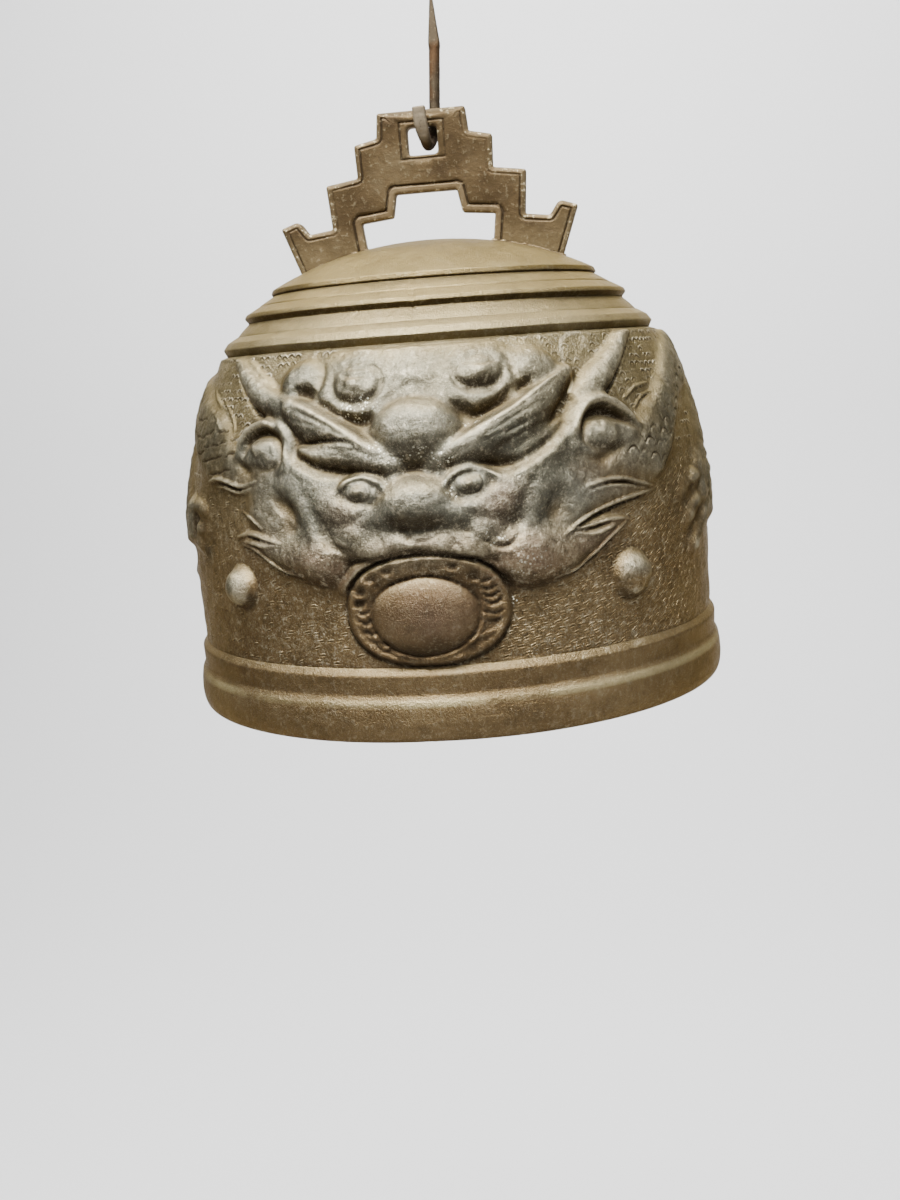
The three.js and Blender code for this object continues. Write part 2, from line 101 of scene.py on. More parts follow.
def spline(points, per_span=10):
    """Points of a smooth line through the given ones, with the share of the way along each."""
    p = np.array(points, float)
    ends = np.vstack([2 * p[0] - p[1], p, 2 * p[-1] - p[-2]])
    t = np.linspace(0, 1, per_span, endpoint=False)[:, None]
    spans = []
    for a, b, c, d in zip(ends[:-3], ends[1:-2], ends[2:-1], ends[3:]):
        cubic = 2 * b + (c - a) * t + (2 * a - 5 * b + 4 * c - d) * t ** 2 + (3 * b - a - 3 * c + d) * t ** 3
        spans.append(cubic / 2)
    line = np.vstack(spans + [p[-1:]])
    return line, np.linspace(0, 1, len(line))


def along(values, share):
    """Values spread evenly along a line, read at the shares."""
    values = np.atleast_1d(np.array(values, float))
    return np.interp(share, np.linspace(0, 1, len(values)), values)


def blurred(field, sigma):
    """A number field smoothed over sigma cells both ways."""
    reach = max(int(3 * sigma), 1)
    taps = np.exp(-0.5 * (np.arange(-reach, reach + 1) / sigma) ** 2)
    taps /= taps.sum()
    for axis in (0, 1):
        pads = [(reach, reach) if k == axis else (0, 0) for k in (0, 1)]
        padded = np.pad(field, pads, mode="edge")
        size = field.shape[axis]
        field = sum(w * np.take(padded, range(k, k + size), axis) for k, w in enumerate(taps))
    return field


def speckle(shape, sigma):
    """Smooth noise with a spread of about one."""
    noise = blurred(rng.standard_normal(shape), sigma)
    return noise / noise.std()


def smoothstep(low, high, x):
    t = np.clip((x - low) / (high - low), 0, 1)
    return t * t * (3 - 2 * t)


def scattered(k, c, salt):
    """A steady but irregular number from 0 to 1 for each cell of a pattern."""
    wild = np.sin(k * 12.9898 + c * 78.233 + salt * 37.719) * 43758.5453
    return wild - np.floor(wild)


def off_line(u, v, line):
    """How far each place lies from an open line."""
    best = np.full(u.shape, 1e9)
    for a, step in zip(line[:-1], np.diff(line, axis=0)):
        t = np.clip(((u - a[0]) * step[0] + (v - a[1]) * step[1]) / max(step @ step, 1e-9), 0, 1)
        best = np.minimum(best, np.hypot(u - a[0] - t * step[0], v - a[1] - t * step[1]))
    return best


def within(u, v, loop):
    """Whether each place lies inside a closed outline."""
    inside = np.zeros(u.shape, bool)
    for a, b in zip(loop, np.roll(loop, -1, 0)):
        if a[1] != b[1]:
            straddles = (a[1] > v) != (b[1] > v)
            inside ^= straddles & (u < (b[0] - a[0]) * (v - a[1]) / (b[1] - a[1]) + a[0])
    return inside


# The carving: a height field in millimetres over the skin

class Relief:
    def __init__(self, u, v):
        self.u, self.v = np.meshgrid(u, v, indexing="ij")
        self.h = np.zeros(self.u.shape)
        self.mark = np.zeros(self.u.shape)

    def blank(self):
        """Another height field over the same skin."""
        return Relief(self.u[:, 0], self.v[0])

    def window(self, low, high):
        i0, i1 = np.searchsorted(self.u[:, 0], [low[0], high[0]])
        j0, j1 = np.searchsorted(self.v[0], [low[1], high[1]])
        return slice(i0, i1), slice(j0, j1)

    def apply(self, box, height, blend, mode):
        old = self.h[box]
        if mode == "add":
            self.h[box] = old + height
        elif mode == "cut":
            self.h[box] = old - height
        else:
            mix = np.clip(1 - np.abs(old - height) / blend, 0, 1)
            self.h[box] = np.maximum(old, height) + mix * mix * blend / 4 * (height > 0)

    def mound(self, at, size, height, turn=0, power=0.5, blend=1.2, mode="raise"):
        """An oval swelling, whose third size, where it has one, is the half height below its peak."""
        reach = max(size)
        box = self.window((at[0] - reach, at[1] - reach), (at[0] + reach, at[1] + reach))
        du, dv = self.u[box] - at[0], self.v[box] - at[1]
        c, s = math.cos(math.radians(turn)), math.sin(math.radians(turn))
        across, upward = du * c + dv * s, dv * c - du * s
        q = np.hypot(across / size[0], upward / np.where(upward > 0, size[1], size[-1]))
        self.apply(box, height * np.clip(1 - q * q, 0, 1) ** power, blend, mode)

    def dent(self, at, size, depth, turn=0, power=0.9):
        self.mound(at, size, depth, turn, power, mode="cut")

    def roll(self, points, width, height, power=0.5, blend=1.0, mode="raise", below=None):
        """A ridge along a line. The half width below is for the line's right-hand side as it is travelled."""
        line, share = spline(points)
        widths, heights = along(width, share), along(height, share)
        belows = widths if below is None else along(below, share)
        reach = max(widths.max(), belows.max())
        box = self.window(line.min(0) - reach, line.max(0) + reach)
        u, v = self.u[box], self.v[box]
        best = np.zeros(u.shape)
        for k in range(len(line) - 1):
            a, step = line[k], line[k + 1] - line[k]
            t = np.clip(((u - a[0]) * step[0] + (v - a[1]) * step[1]) / max(step @ step, 1e-9), 0, 1)
            left = (v - a[1]) * step[0] > (u - a[0]) * step[1]
            wide, narrow, z = (each[k] + t * (each[k + 1] - each[k]) for each in (widths, belows, heights))
            q = np.hypot(u - a[0] - t * step[0], v - a[1] - t * step[1]) / np.where(left, wide, narrow)
            best = np.maximum(best, z * np.clip(1 - q * q, 0, 1) ** power)
        self.apply(box, best, blend, mode)

    def groove(self, points, width, depth, power=1.0):
        self.roll(points, width, depth, power, mode="cut")

    def line(self, points, width, height, power=1.0):
        self.roll(points, width, height, power, mode="add")

    def crack(self, points, width, depth):
        """A ragged cut, with painted shade inside."""
        scratch = self.blank()
        line = spline(points, 4)[0]
        line[1:-1] += rng.standard_normal((len(line) - 2, 2)) * CRACK_WANDER
        scratch.line(line, width, 1.0)
        self.h -= depth * scratch.h
        self.mark -= scratch.h * min(2 * depth, 1)

    def inside(self, outline):
        """The window round a smooth closed outline, with the depth inside it, negative outside."""
        line = np.array(outline, float)
        loop = spline(np.vstack([line[-1:], line, line[:2]]), 8)[0][8:-8]
        box = self.window(loop.min(0) - OUTLINE_MARGIN, loop.max(0) + OUTLINE_MARGIN)
        u, v = self.u[box], self.v[box]
        distance = off_line(u, v, np.vstack([loop, loop[:1]]))
        return box, np.where(within(u, v, loop), distance, -distance)

    def slab(self, outline, edge, height, blend=1.0):
        """A plateau inside a closed outline, rounded over the given width at its edge."""
        box, depth = self.inside(outline)
        rise = np.clip(depth / edge, 0, 1)
        self.apply(box, height * np.sqrt(1 - (1 - rise) ** 2), blend, "raise")

    def scales(self, outline, direction, size, lift, cut):
        """Overlapping scales inside an outline, their rounded edges cut in towards the direction, with
        painted shade in the cuts.
        """
        box, depth = self.inside(outline)
        c, s = math.cos(math.radians(direction)), math.sin(math.radians(direction))
        a = (self.u[box] * c + self.v[box] * s) / size[0]
        b = (self.v[box] * c - self.u[box] * s) / size[1]
        best, arcs = np.zeros(a.shape), np.zeros(a.shape)
        for row in (-1, 0, 1):
            k = np.floor(a) + row
            shift = 0.5 * (k % 2)
            db = b - shift - np.round(b - shift)
            da = a - k - 0.5
            q = np.hypot(da / 1.05, db / 0.56)
            best = np.maximum(best, lift * np.clip(0.35 + 0.65 * da, 0, 1) * np.clip((1 - q) / 0.3, 0, 1))
            strength = 0.35 + 0.65 * scattered(k, np.round(b - shift), 6)
            arc = np.clip(1 - ((q - 0.90) / 0.13) ** 2, 0, 1) * smoothstep(0.25, 0.55, da) * strength
            arcs = np.maximum(arcs, arc)
        inside = smoothstep(0.2, 2.0, depth)
        self.h[box] += (best - cut * arcs) * inside
        self.mark[box] -= arcs * inside * 0.9


def head(r):
    r.slab([(-54, 114), (-51, 122), (-43, 126), (-36, 125.4), (-30, 128), (-20, 129.4), (-10, 128),
        (0, 128.8), (10, 128), (20, 129), (31, 128.4), (38, 125), (46, 125), (54, 121), (56, 114),
        (40, 106), (0, 100), (-40, 104)], 10, 3, 2)
    r.slab([(-50, 92), (-42, 100), (0, 104), (46, 101), (56, 95), (52, 82), (44, 72), (38, 62), (22, 60),
        (0, 61), (-22, 60), (-38, 62), (-44, 72), (-48, 82)], 12, 3.4, 2)
    r.mound((0, 73), (31, 15), 5, 0, 0.9, 2)


def cheeks(r):
    r.roll([(-49, 95), (-41.6, 90.6), (-35, 84.8), (-28.6, 79), (-20.6, 75.6), (-12, 74)],
        [4, 6.4, 8.6, 9, 8, 5.6], [3.6, 5, 6.2, 6.8, 6.4, 5], 1, 3.6)
    r.roll([(54, 98), (45, 92), (36.8, 86), (29.6, 80), (21, 76), (12, 74.4)], [4, 6.4, 8.8, 9, 8, 5.6],
        [3.4, 4.8, 6.2, 6.8, 6.4, 5], 1, 3.6)
    r.roll([(-48, 85.6), (-43.6, 85), (-39.8, 81.6), (-36.6, 75), (-33.4, 69), (-29.4, 65)],
        [4.2, 5, 5, 5, 4.6], [4.6, 6.2, 6.2, 6.2, 5.8], 1, 3.4)
    r.roll([(50, 82), (44, 83), (39.4, 80), (36.4, 74), (33.4, 67.6)], [4.4, 5.4, 5.2, 5.2, 5],
        [4.4, 5.6, 5.8, 5.8, 5.6], 1, 3.4)
    r.slab([(-49, 66), (-42, 71.4), (-34, 70.6), (-28, 66), (-23.6, 61), (-23, 57.6), (-28, 53.8),
        (-35, 53), (-42, 55.2), (-50, 59)], 9, 5.6, 2.4)
    r.slab([(50, 66), (40, 71), (32, 69.6), (24.6, 64), (22.4, 56.4), (27, 50.4), (34, 48.8), (44, 50.4),
        (53, 55)], 9.6, 6, 2.4)
    r.mound((-33, 61.6), (10.6, 8.6, 8), 7.6, -10, 0.8, 2.8)
    r.mound((33, 60.4), (12.6, 10.6, 10), 7.8, 10, 0.8, 3)


def mane(r):
    r.roll([(-91, 85.8), (-80, 86.4), (-68, 86), (-56, 87)], [1, 2.6, 4.2, 5], [1, 1.8, 2.4, 2.8], 0.8, 1.2)
    r.slab([(-58, 90), (-48, 90), (-44, 76), (-46, 66), (-58, 70), (-66, 76), (-64, 82)], 7, 2.6, 2)
    r.slab([(-72, 68.2), (-60, 69.6), (-46, 69), (-38, 64), (-36, 57), (-48, 58.2), (-56, 62.2),
        (-63, 65.6)], 5, 3.6, 1.6)
    r.slab([(50, 92), (60, 89), (66, 84), (62, 76), (52, 66), (44, 68), (44, 84)], 7, 2.8, 2)
    r.slab([(88, 75.4), (78, 78.6), (66, 80.4), (56, 79.6), (48, 72), (50, 66.6), (60, 70.4), (72, 73)], 4,
        2.6, 1.4)
    r.slab([(72.6, 66.6), (64, 68.2), (54, 67.6), (46, 66), (40, 60), (42, 52), (50, 53.6), (58, 58),
        (65, 62.6)], 5, 3.8, 1.6)


def ears(r):
    r.slab([(-72, 95.6), (-67.6, 102), (-60, 106.4), (-52, 106.4), (-45.6, 102), (-42.6, 94), (-46, 88.6),
        (-58, 89), (-67, 92)], 3.6, 3.6, 1.6)
    r.roll([(-71, 95), (-67.4, 100.4), (-61.6, 104), (-54.6, 105), (-48, 102.2), (-44.6, 96),
        (-46.4, 90.6)], [1.2, 2.4, 2.8, 2.8, 3.2, 3.2, 2.4], [3.4, 4.8, 5.4, 5.4, 5.4, 5.2, 4.4], 0.7, 1.4)
    r.slab([(52, 96), (56, 104), (64, 107.4), (74, 105), (85, 97), (80, 91.6), (68, 88.4), (56, 88.8)], 3.6,
        3.6, 1.6)
    r.roll([(53.6, 91.6), (54.2, 98), (58.6, 103.4), (66, 105.8), (74.6, 103), (84.4, 96)],
        [2.6, 3.4, 3.2, 2.8, 2.5, 1.3], [4.2, 5.4, 5.6, 5.6, 5, 3.4], 0.7, 1.4)


def ear_hollows(r):
    r.groove([(-66, 95.8), (-62.4, 100.8), (-56, 102.6), (-50.4, 100.6), (-47.8, 96.4), (-49, 92.2),
        (-55, 90.8), (-62, 92)], [0.9, 1.9, 2, 1.7, 1.5, 1.3, 1.1, 0.9],
        [1.8, 3.6, 3.8, 3.2, 2.6, 2, 1.6, 1], 0.7)
    r.mound((-56.6, 96.6), (7.8, 4.8, 4.2), 5, -10, 0.6, 0.8)
    r.mound((-59.4, 97.4), (3, 1.6), 5.5, -14, 0.8, 1)
    r.groove([(82, 95.2), (74.6, 99.4), (67.4, 101.8), (61, 100.8), (57.6, 96.4), (58.6, 92), (65, 90),
        (74, 90.4)], [0.8, 2, 2.4, 2.1, 1.5, 1.2, 1.1, 0.8], [1.2, 3.6, 4, 3.4, 2.4, 1.8, 1.5, 0.9], 0.7)
    r.mound((66.8, 95), (8.6, 4.8), 5, -8, 0.6, 0.8)
    r.mound((63.6, 95.6), (3.4, 1.6), 5.5, -14, 0.8, 1)


def muzzle(r):
    """The upper lip slopes out to a wavy edge just over the mouth."""
    r.roll([(-27, 65.4), (-22, 64.4), (-15, 63.6), (-8, 65), (0, 65.4), (8, 64), (14, 62.8), (20, 61.8),
        (27, 63.6)], [7.4, 8, 8, 7, 6.4, 7, 8, 8, 7], [5.2, 6.4, 6.9, 6.8, 6.6, 6.8, 6.9, 6.4, 5.4], 0.6,
        2.2, below=[3, 2.8, 2.6, 2.4, 2.4, 2.4, 2.6, 2.8, 3])
    r.mound((-20, 69.6), (8, 5), 6.8, -12, 0.8, 2.8)
    r.mound((20, 69), (8, 5), 6.8, 12, 0.8, 2.8)


def nose(r):
    r.mound((-0.4, 78.4), (13.8, 9, 9), 10.4, 0, 0.5, 1.6)
    r.mound((-9.4, 75.6), (6.8, 5.6, 6), 7.2, 12, 0.5, 2.4)
    r.mound((10.2, 75.4), (7.4, 5, 5.4), 7.2, -10, 0.5, 2.4)
    r.dent((0, 89.2), (8, 2.2), 1.6)


def eyes(r):
    for cu, cv, turn in ((-17.8, 83.2, -6), (16.8, 83.8, 10)):
        r.dent((cu, cv + 0.6), (9.2, 5.6, 6), 2.8, turn)
        r.mound((cu, cv - 0.4), (7, 4.3), 6.7, turn, 0.45, 0.4)
    r.roll([(-26.6, 81.6), (-23, 85.6), (-17.6, 87.6), (-12.2, 86), (-9.2, 82.2)],
        [0.9, 1.5, 1.6, 1.4, 0.9], [5.4, 6.8, 7.2, 6.8, 5.6], 0.7, 1)
    r.roll([(8.2, 82.4), (11.4, 86.4), (16.8, 88.4), (22.6, 87.4), (26.8, 84)], [0.9, 1.4, 1.6, 1.5, 1],
        [5.6, 6.8, 7.2, 6.8, 5.4], 0.7, 1)


def curls(r):
    """The brow's rounded curls: a button over a dark crescent, inside a soft flat band."""
    r.mound((-20.6, 115), (14, 11.4), 5, 0, 0.5, 2)
    r.groove([(-29, 119.6), (-28.8, 114.6), (-25, 111), (-18.6, 110), (-12.6, 112.2), (-10.8, 116.4),
        (-13, 120.4), (-20, 122.6), (-29, 119.6)], [1, 1.5, 1.6, 1.6, 1.5, 1.3, 1, 0.9, 1],
        [0.9, 1.5, 1.9, 1.9, 1.7, 1.4, 1, 0.8, 0.9], 0.9)
    r.mound((-20.4, 115.6), (6.8, 5, 4.4), 6.3, -6, 0.8, 0.9)
    r.groove([(-35, 112), (-31, 108.2), (-25, 105.4), (-18, 104.4), (-12, 105.6)],
        [1.2, 2.2, 2.4, 2.2, 1.2], [0.8, 1.9, 2.2, 1.9, 0.8], 0.8)
    r.mound((-43.6, 118.4), (9.6, 6.8, 6.8), 4.2, 0, 0.8, 2.4)
    r.dent((-40, 113.8), (5.2, 3), 2.4, -12)
    r.groove([(-34.6, 123), (-33.8, 118.6), (-35, 114)], [1, 1.6, 1.2], [0.4, 1, 0.6])
    r.mound((22.6, 115), (14.6, 11.4), 5, 0, 0.5, 2)
    r.groove([(15.2, 119.8), (14.4, 116.4), (16.6, 113.6), (21, 112.2), (27, 112.4), (31.6, 115.2),
        (32, 119), (24, 122.4), (15.2, 119.8)], [0.9, 1.2, 1.6, 1.9, 1.9, 1.4, 1, 0.9, 0.9],
        [0.8, 1.2, 1.8, 2.2, 2.2, 1.5, 0.9, 0.7, 0.7], 0.9)
    r.mound((23.4, 117), (7, 4.8, 4.2), 6.4, 4, 0.8, 0.9)
    r.groove([(12, 108.2), (17, 105.6), (23, 104.8), (29, 107.2), (34.6, 111.6)], [1.2, 2.2, 2.4, 2.2, 1.2],
        [0.8, 1.9, 2.3, 2, 0.8], 0.8)
    r.mound((43.6, 118), (10, 7, 7), 4.2, 0, 0.8, 2.4)
    r.dent((39, 111.8), (4, 1.9), 2.4, 8)
    r.groove([(35.4, 122), (36, 117.6), (39, 114.4)], [1, 1.6, 1], [0.4, 0.9, 0.4])


def forehead(r):
    r.mound((0.5, 117.5), (12.5, 8.5), 3.5, 0, 0.9, 2.6)
    r.mound((0.6, 102.4), (15.2, 9.2, 12.8), 9.2, 0, 0.55, 2.2)


def horns(r):
    r.roll([(-90, 129), (-82, 125.4), (-74, 121), (-66, 116.8), (-59, 113.4), (-52, 110)],
        [1.8, 3, 3.8, 4.4, 4.6, 4], [2, 3.2, 4, 4.4, 4.4, 3.4], 0.55, 1.4)
    r.roll([(98, 129), (92, 125.6), (84, 120.6), (76, 116), (68, 111.6), (61, 107.6)],
        [2.8, 3.4, 4, 4.6, 5, 4.2], [2.6, 3.4, 4.2, 4.6, 4.4, 3.4], 0.55, 1.4)


def brows(r):
    """Each brow is a wedge with its ridge along the top and a long slope down to the eye."""
    r.roll([(-58, 114.2), (-45, 110.8), (-35, 107.2), (-26, 102.8), (-18, 98.2), (-11, 94.2), (-5, 91)],
        [2.4, 3, 3.2, 3.2, 3, 2.8, 2.4], [3.2, 5.6, 6.6, 7, 7, 6.2, 4.6], 0.6, 2.2,
        below=[2.6, 6.6, 9.6, 9.6, 7, 5, 3.4])
    r.roll([(-40, 96.6), (-33, 95.2), (-24, 94), (-15, 92.2), (-8, 90)], [1.8, 2.6, 2.8, 2.6, 2],
        [4.4, 5.8, 6.4, 6.4, 5.2], 0.6, 2.4, below=[2.4, 4, 4.2, 3.8, 2.8])
    r.roll([(5, 91), (11, 94.2), (18, 97.4), (26, 101), (34, 104.6), (44, 109.8), (58, 116)],
        [2.4, 2.8, 3, 3.2, 3.2, 3, 2.4], [4.6, 6.2, 7, 7, 6.6, 5.8, 3.2], 0.6, 2.2,
        below=[3.6, 6, 9.4, 12, 11.6, 8, 3])
    r.groove([(-57, 110.4), (-48, 101.6), (-40, 94), (-31, 90.2), (-20, 88.8), (-11, 88)],
        [1, 1.6, 1.9, 2, 2, 1.6], [0.8, 1.8, 2.2, 2.2, 1.9, 0.8], 0.8)
    r.groove([(11, 88.4), (20, 88.8), (30, 88.2), (40, 91.6), (49, 97.4), (58, 104)],
        [1.6, 2, 2.1, 2, 1.7, 1.1], [0.8, 1.9, 2.3, 2.3, 1.8, 0.8], 0.8)


def bodies(r):
    r.slab([(-150, 124), (-130, 121), (-112, 117), (-98, 113.4), (-86, 110), (-78, 104), (-71, 98),
        (-65, 91), (-62, 87.6), (-76, 86), (-92, 86.4), (-104, 90), (-118, 97), (-130, 102), (-150, 104)],
        7, 2.5, 1.6)
    r.roll([(-150, 121), (-128, 118), (-112, 113.6), (-98, 109), (-88, 104)], [2, 1.8, 1.5, 0.9],
        [2.6, 2.9, 2.8, 2.4], 0.8, 1.2)
    r.slab([(150, 129), (138, 127), (122, 121), (108, 112), (96, 104.4), (86, 99), (78, 95), (66, 88),
        (60, 82), (74, 80.4), (86, 77.4), (94, 80), (104, 88), (112, 96), (124, 104), (150, 112)], 6, 2.9,
        1.6)
    r.roll([(150, 126), (136, 124), (120, 117.4), (108, 110.4), (97, 103.6), (84, 97)], [1.9, 1.9, 1.7, 1],
        [2.8, 3.3, 3.2, 2.8], 0.9, 1.2)
    r.mound((-142, 50), (14, 7), 1.5, 0, 0.8, 0.8)


def paws(r):
    """The beast's forelegs reach round each flank, with knuckled toes towards the front."""
    r.roll([(-152, 112), (-144, 99), (-138, 87), (-130, 78)], [9, 9, 9, 8], [2.4, 2.6, 2.8, 3], 0.7, 2)
    r.mound((-137, 71), (16, 12), 3.2, 0, 0.6, 2)
    r.roll([(152, 112), (143, 100), (134, 88), (127, 78)], [9, 9, 9, 8], [2.4, 2.6, 2.8, 3.1], 0.7, 2)
    r.mound((136, 70), (16, 13), 3.3, 0, 0.6, 2)
    for toe in ([(-134, 75.6), (-117, 77), (-107, 77.6), (-98.6, 76.4), (-92, 74.4)],
                [(-134, 70), (-119, 71.4), (-109, 71.6), (-100.4, 70), (-94, 67.6)],
                [(-134, 64), (-122, 65.2), (-113, 66), (-104.4, 64.6), (-98, 62)],
                [(134, 79), (123, 77), (115, 75.6), (107.6, 73), (103, 69)],
                [(134, 72), (125, 70.4), (117, 68), (110.4, 63.6), (107, 59)],
                [(134, 65), (126, 62), (119, 58), (113.4, 52.6), (110.4, 47.6)]):
        r.roll(toe, [3.2, 3.2, 3.2, 2.5, 1.2], [3.2, 3.5, 3.6, 2.9, 1], 0.7, 1.6)
        knuckles = ((toe[2], (3.8, 2.9), 4.3), (toe[3], (3, 2.4), 3.6), (toe[1], (3.4, 2.8), 4))
        for place, size, rise in knuckles:
            r.mound(place, size, rise, 6 if place[0] > 0 else -6, 0.8, 1.2)


def rough_paws(r):
    """The toes are roughly cast, all bumps and pits with painted shade in the pits, and no higher than the
    rim's edge.
    """
    share = smoothstep(88, 96, np.abs(r.u)) * smoothstep(88, 80, r.v)
    share = share * smoothstep(44, 52, r.v) * smoothstep(0.6, 1.8, r.h)
    lumps = speckle(r.h.shape, 2) * 0.26 + speckle(r.h.shape, 4.2) * 0.36 + speckle(r.h.shape, 8) * 0.26
    r.h += share * lumps
    r.mark -= share * smoothstep(0.1, -0.8, lumps) * 0.7


def studs(r):
    for at, size in (((-71.6, 51.2), (7.4, 7.2)), ((73.6, 48), (8.2, 8))):
        r.mound(at, size, 6, 0, 0.56, 1.3)
        reach = smoothstep(1, 0.7, np.hypot((r.u - at[0]) / size[0], (r.v - at[1]) / size[1]))
        r.h += reach * (speckle(r.h.shape, 1.6) * 0.10 + speckle(r.h.shape, 4) * 0.20)


def squarish(r, at, half, power):
    """How far out each place lies on a squarish oval, whose edge is at one."""
    across, upward = np.abs((r.u - at[0]) / half[0]), np.abs((r.v - at[1]) / half[1])
    return (across ** power + upward ** power) ** (1 / power)


def disc(r):
    """The flat squarish ring with its worn scrolls and beads, and the smooth striking disc."""
    q = squarish(r, (0.9, 44.2), (27.4, 18.9), 2.25)
    lean = 2.2 * smoothstep(46, 61, r.v)
    rise = (2.6 + lean) * np.clip((1 - q) / 0.10, 0, 1) ** 0.6 - 0.7 * smoothstep(0.95, 0.82, q)
    rise = rise + 0.16 * speckle(r.h.shape, 3.5)
    above = smoothstep(58, 62, r.v)
    beside = np.maximum(smoothstep(0.99, 1.05, q), 0.6 * smoothstep(46, 54, r.v))
    bank = (2.2 + lean) * smoothstep(1.3, 1, q) * smoothstep(45, 55, r.v)
    around = np.maximum(r.h * (beside * (1 - above) + above), bank)
    r.h = np.where(q < 1, np.maximum(rise, r.h * above), around)
    for u, v, size in ((-17, 56, 2.7), (-11.2, 58, 2.4), (-20.8, 51.2, 2.6), (-21.6, 46.8, 2.2),
            (15.8, 54.8, 2.7), (9.4, 58.2, 2)):
        near, low = size * 0.6, v - size * 0.75
        r.dent((u, v), (size, size * 0.8), 0.6, 0, 0.8)
        r.line([(u - size, v), (u - near, low), (u + near, low), (u + size, v)], [0.3, 0.7, 0.3], 0.5)
    for u, v, size in ((19, 51.8, 2.4), (20.4, 49.2, 2.6), (21.2, 46.8, 2.6), (21.8, 44.2, 2.6),
            (21.6, 41, 3.4), (-20.2, 43, 2.2), (-19.8, 39.6, 2.2), (-17.8, 36.2, 2.2), (-14, 32.8, 2),
            (13.6, 33.8, 1.8)):
        bow = [(u - size, v + 0.9), (u - size * 0.4, v - 0.4), (u + size * 0.5, v - 0.4),
            (u + size, v + 0.8)]
        r.line(bow, [0.3, 0.7, 0.3], 0.55)
        r.crack([(u - size, v + 2), (u, v + 0.9), (u + size, v + 1.9)], [0.3, 0.6, 0.3], 0.3)
    r.line([(14.6, 34.2), (18, 35.2), (21.4, 36.2)], [0.4, 0.7, 0.4], 0.5)
    r.mound((-8, 29), (6, 2.2), 0.5, -8, 0.8, mode="add")
    r.mound((6, 29), (7, 2), 0.5, 6, 0.8, mode="add")
    q = off_disc(r) + 1
    lip = 0.6 * np.clip(1 - ((q - 1.06) / 0.05) ** 2, 0, 1) * smoothstep(48, 36, r.v)
    moat = 0.5 * np.clip(1 - ((q - 1) / 0.04) ** 2, 0, 1)
    cap = 1.6 + 4.2 * np.clip(1 - q ** 2.2, 0, 1) ** 0.6
    r.h = np.where(q < 1, cap, r.h + lip - moat)


def on_ring(r):
    """One on the squarish ring round the striking disc, nothing elsewhere."""
    edge = smoothstep(1, 0.96, squarish(r, (0.4, 43.4), (27.6, 18.2), 2.6))
    return edge * smoothstep(0, 0.05, off_disc(r)) * smoothstep(61, 58, r.v)


def off_disc(r):
    """Below nothing on the striking disc, above it elsewhere."""
    return np.hypot((r.u + 0.2) / 17.5, (r.v - 42.4) / 13.2) - 1


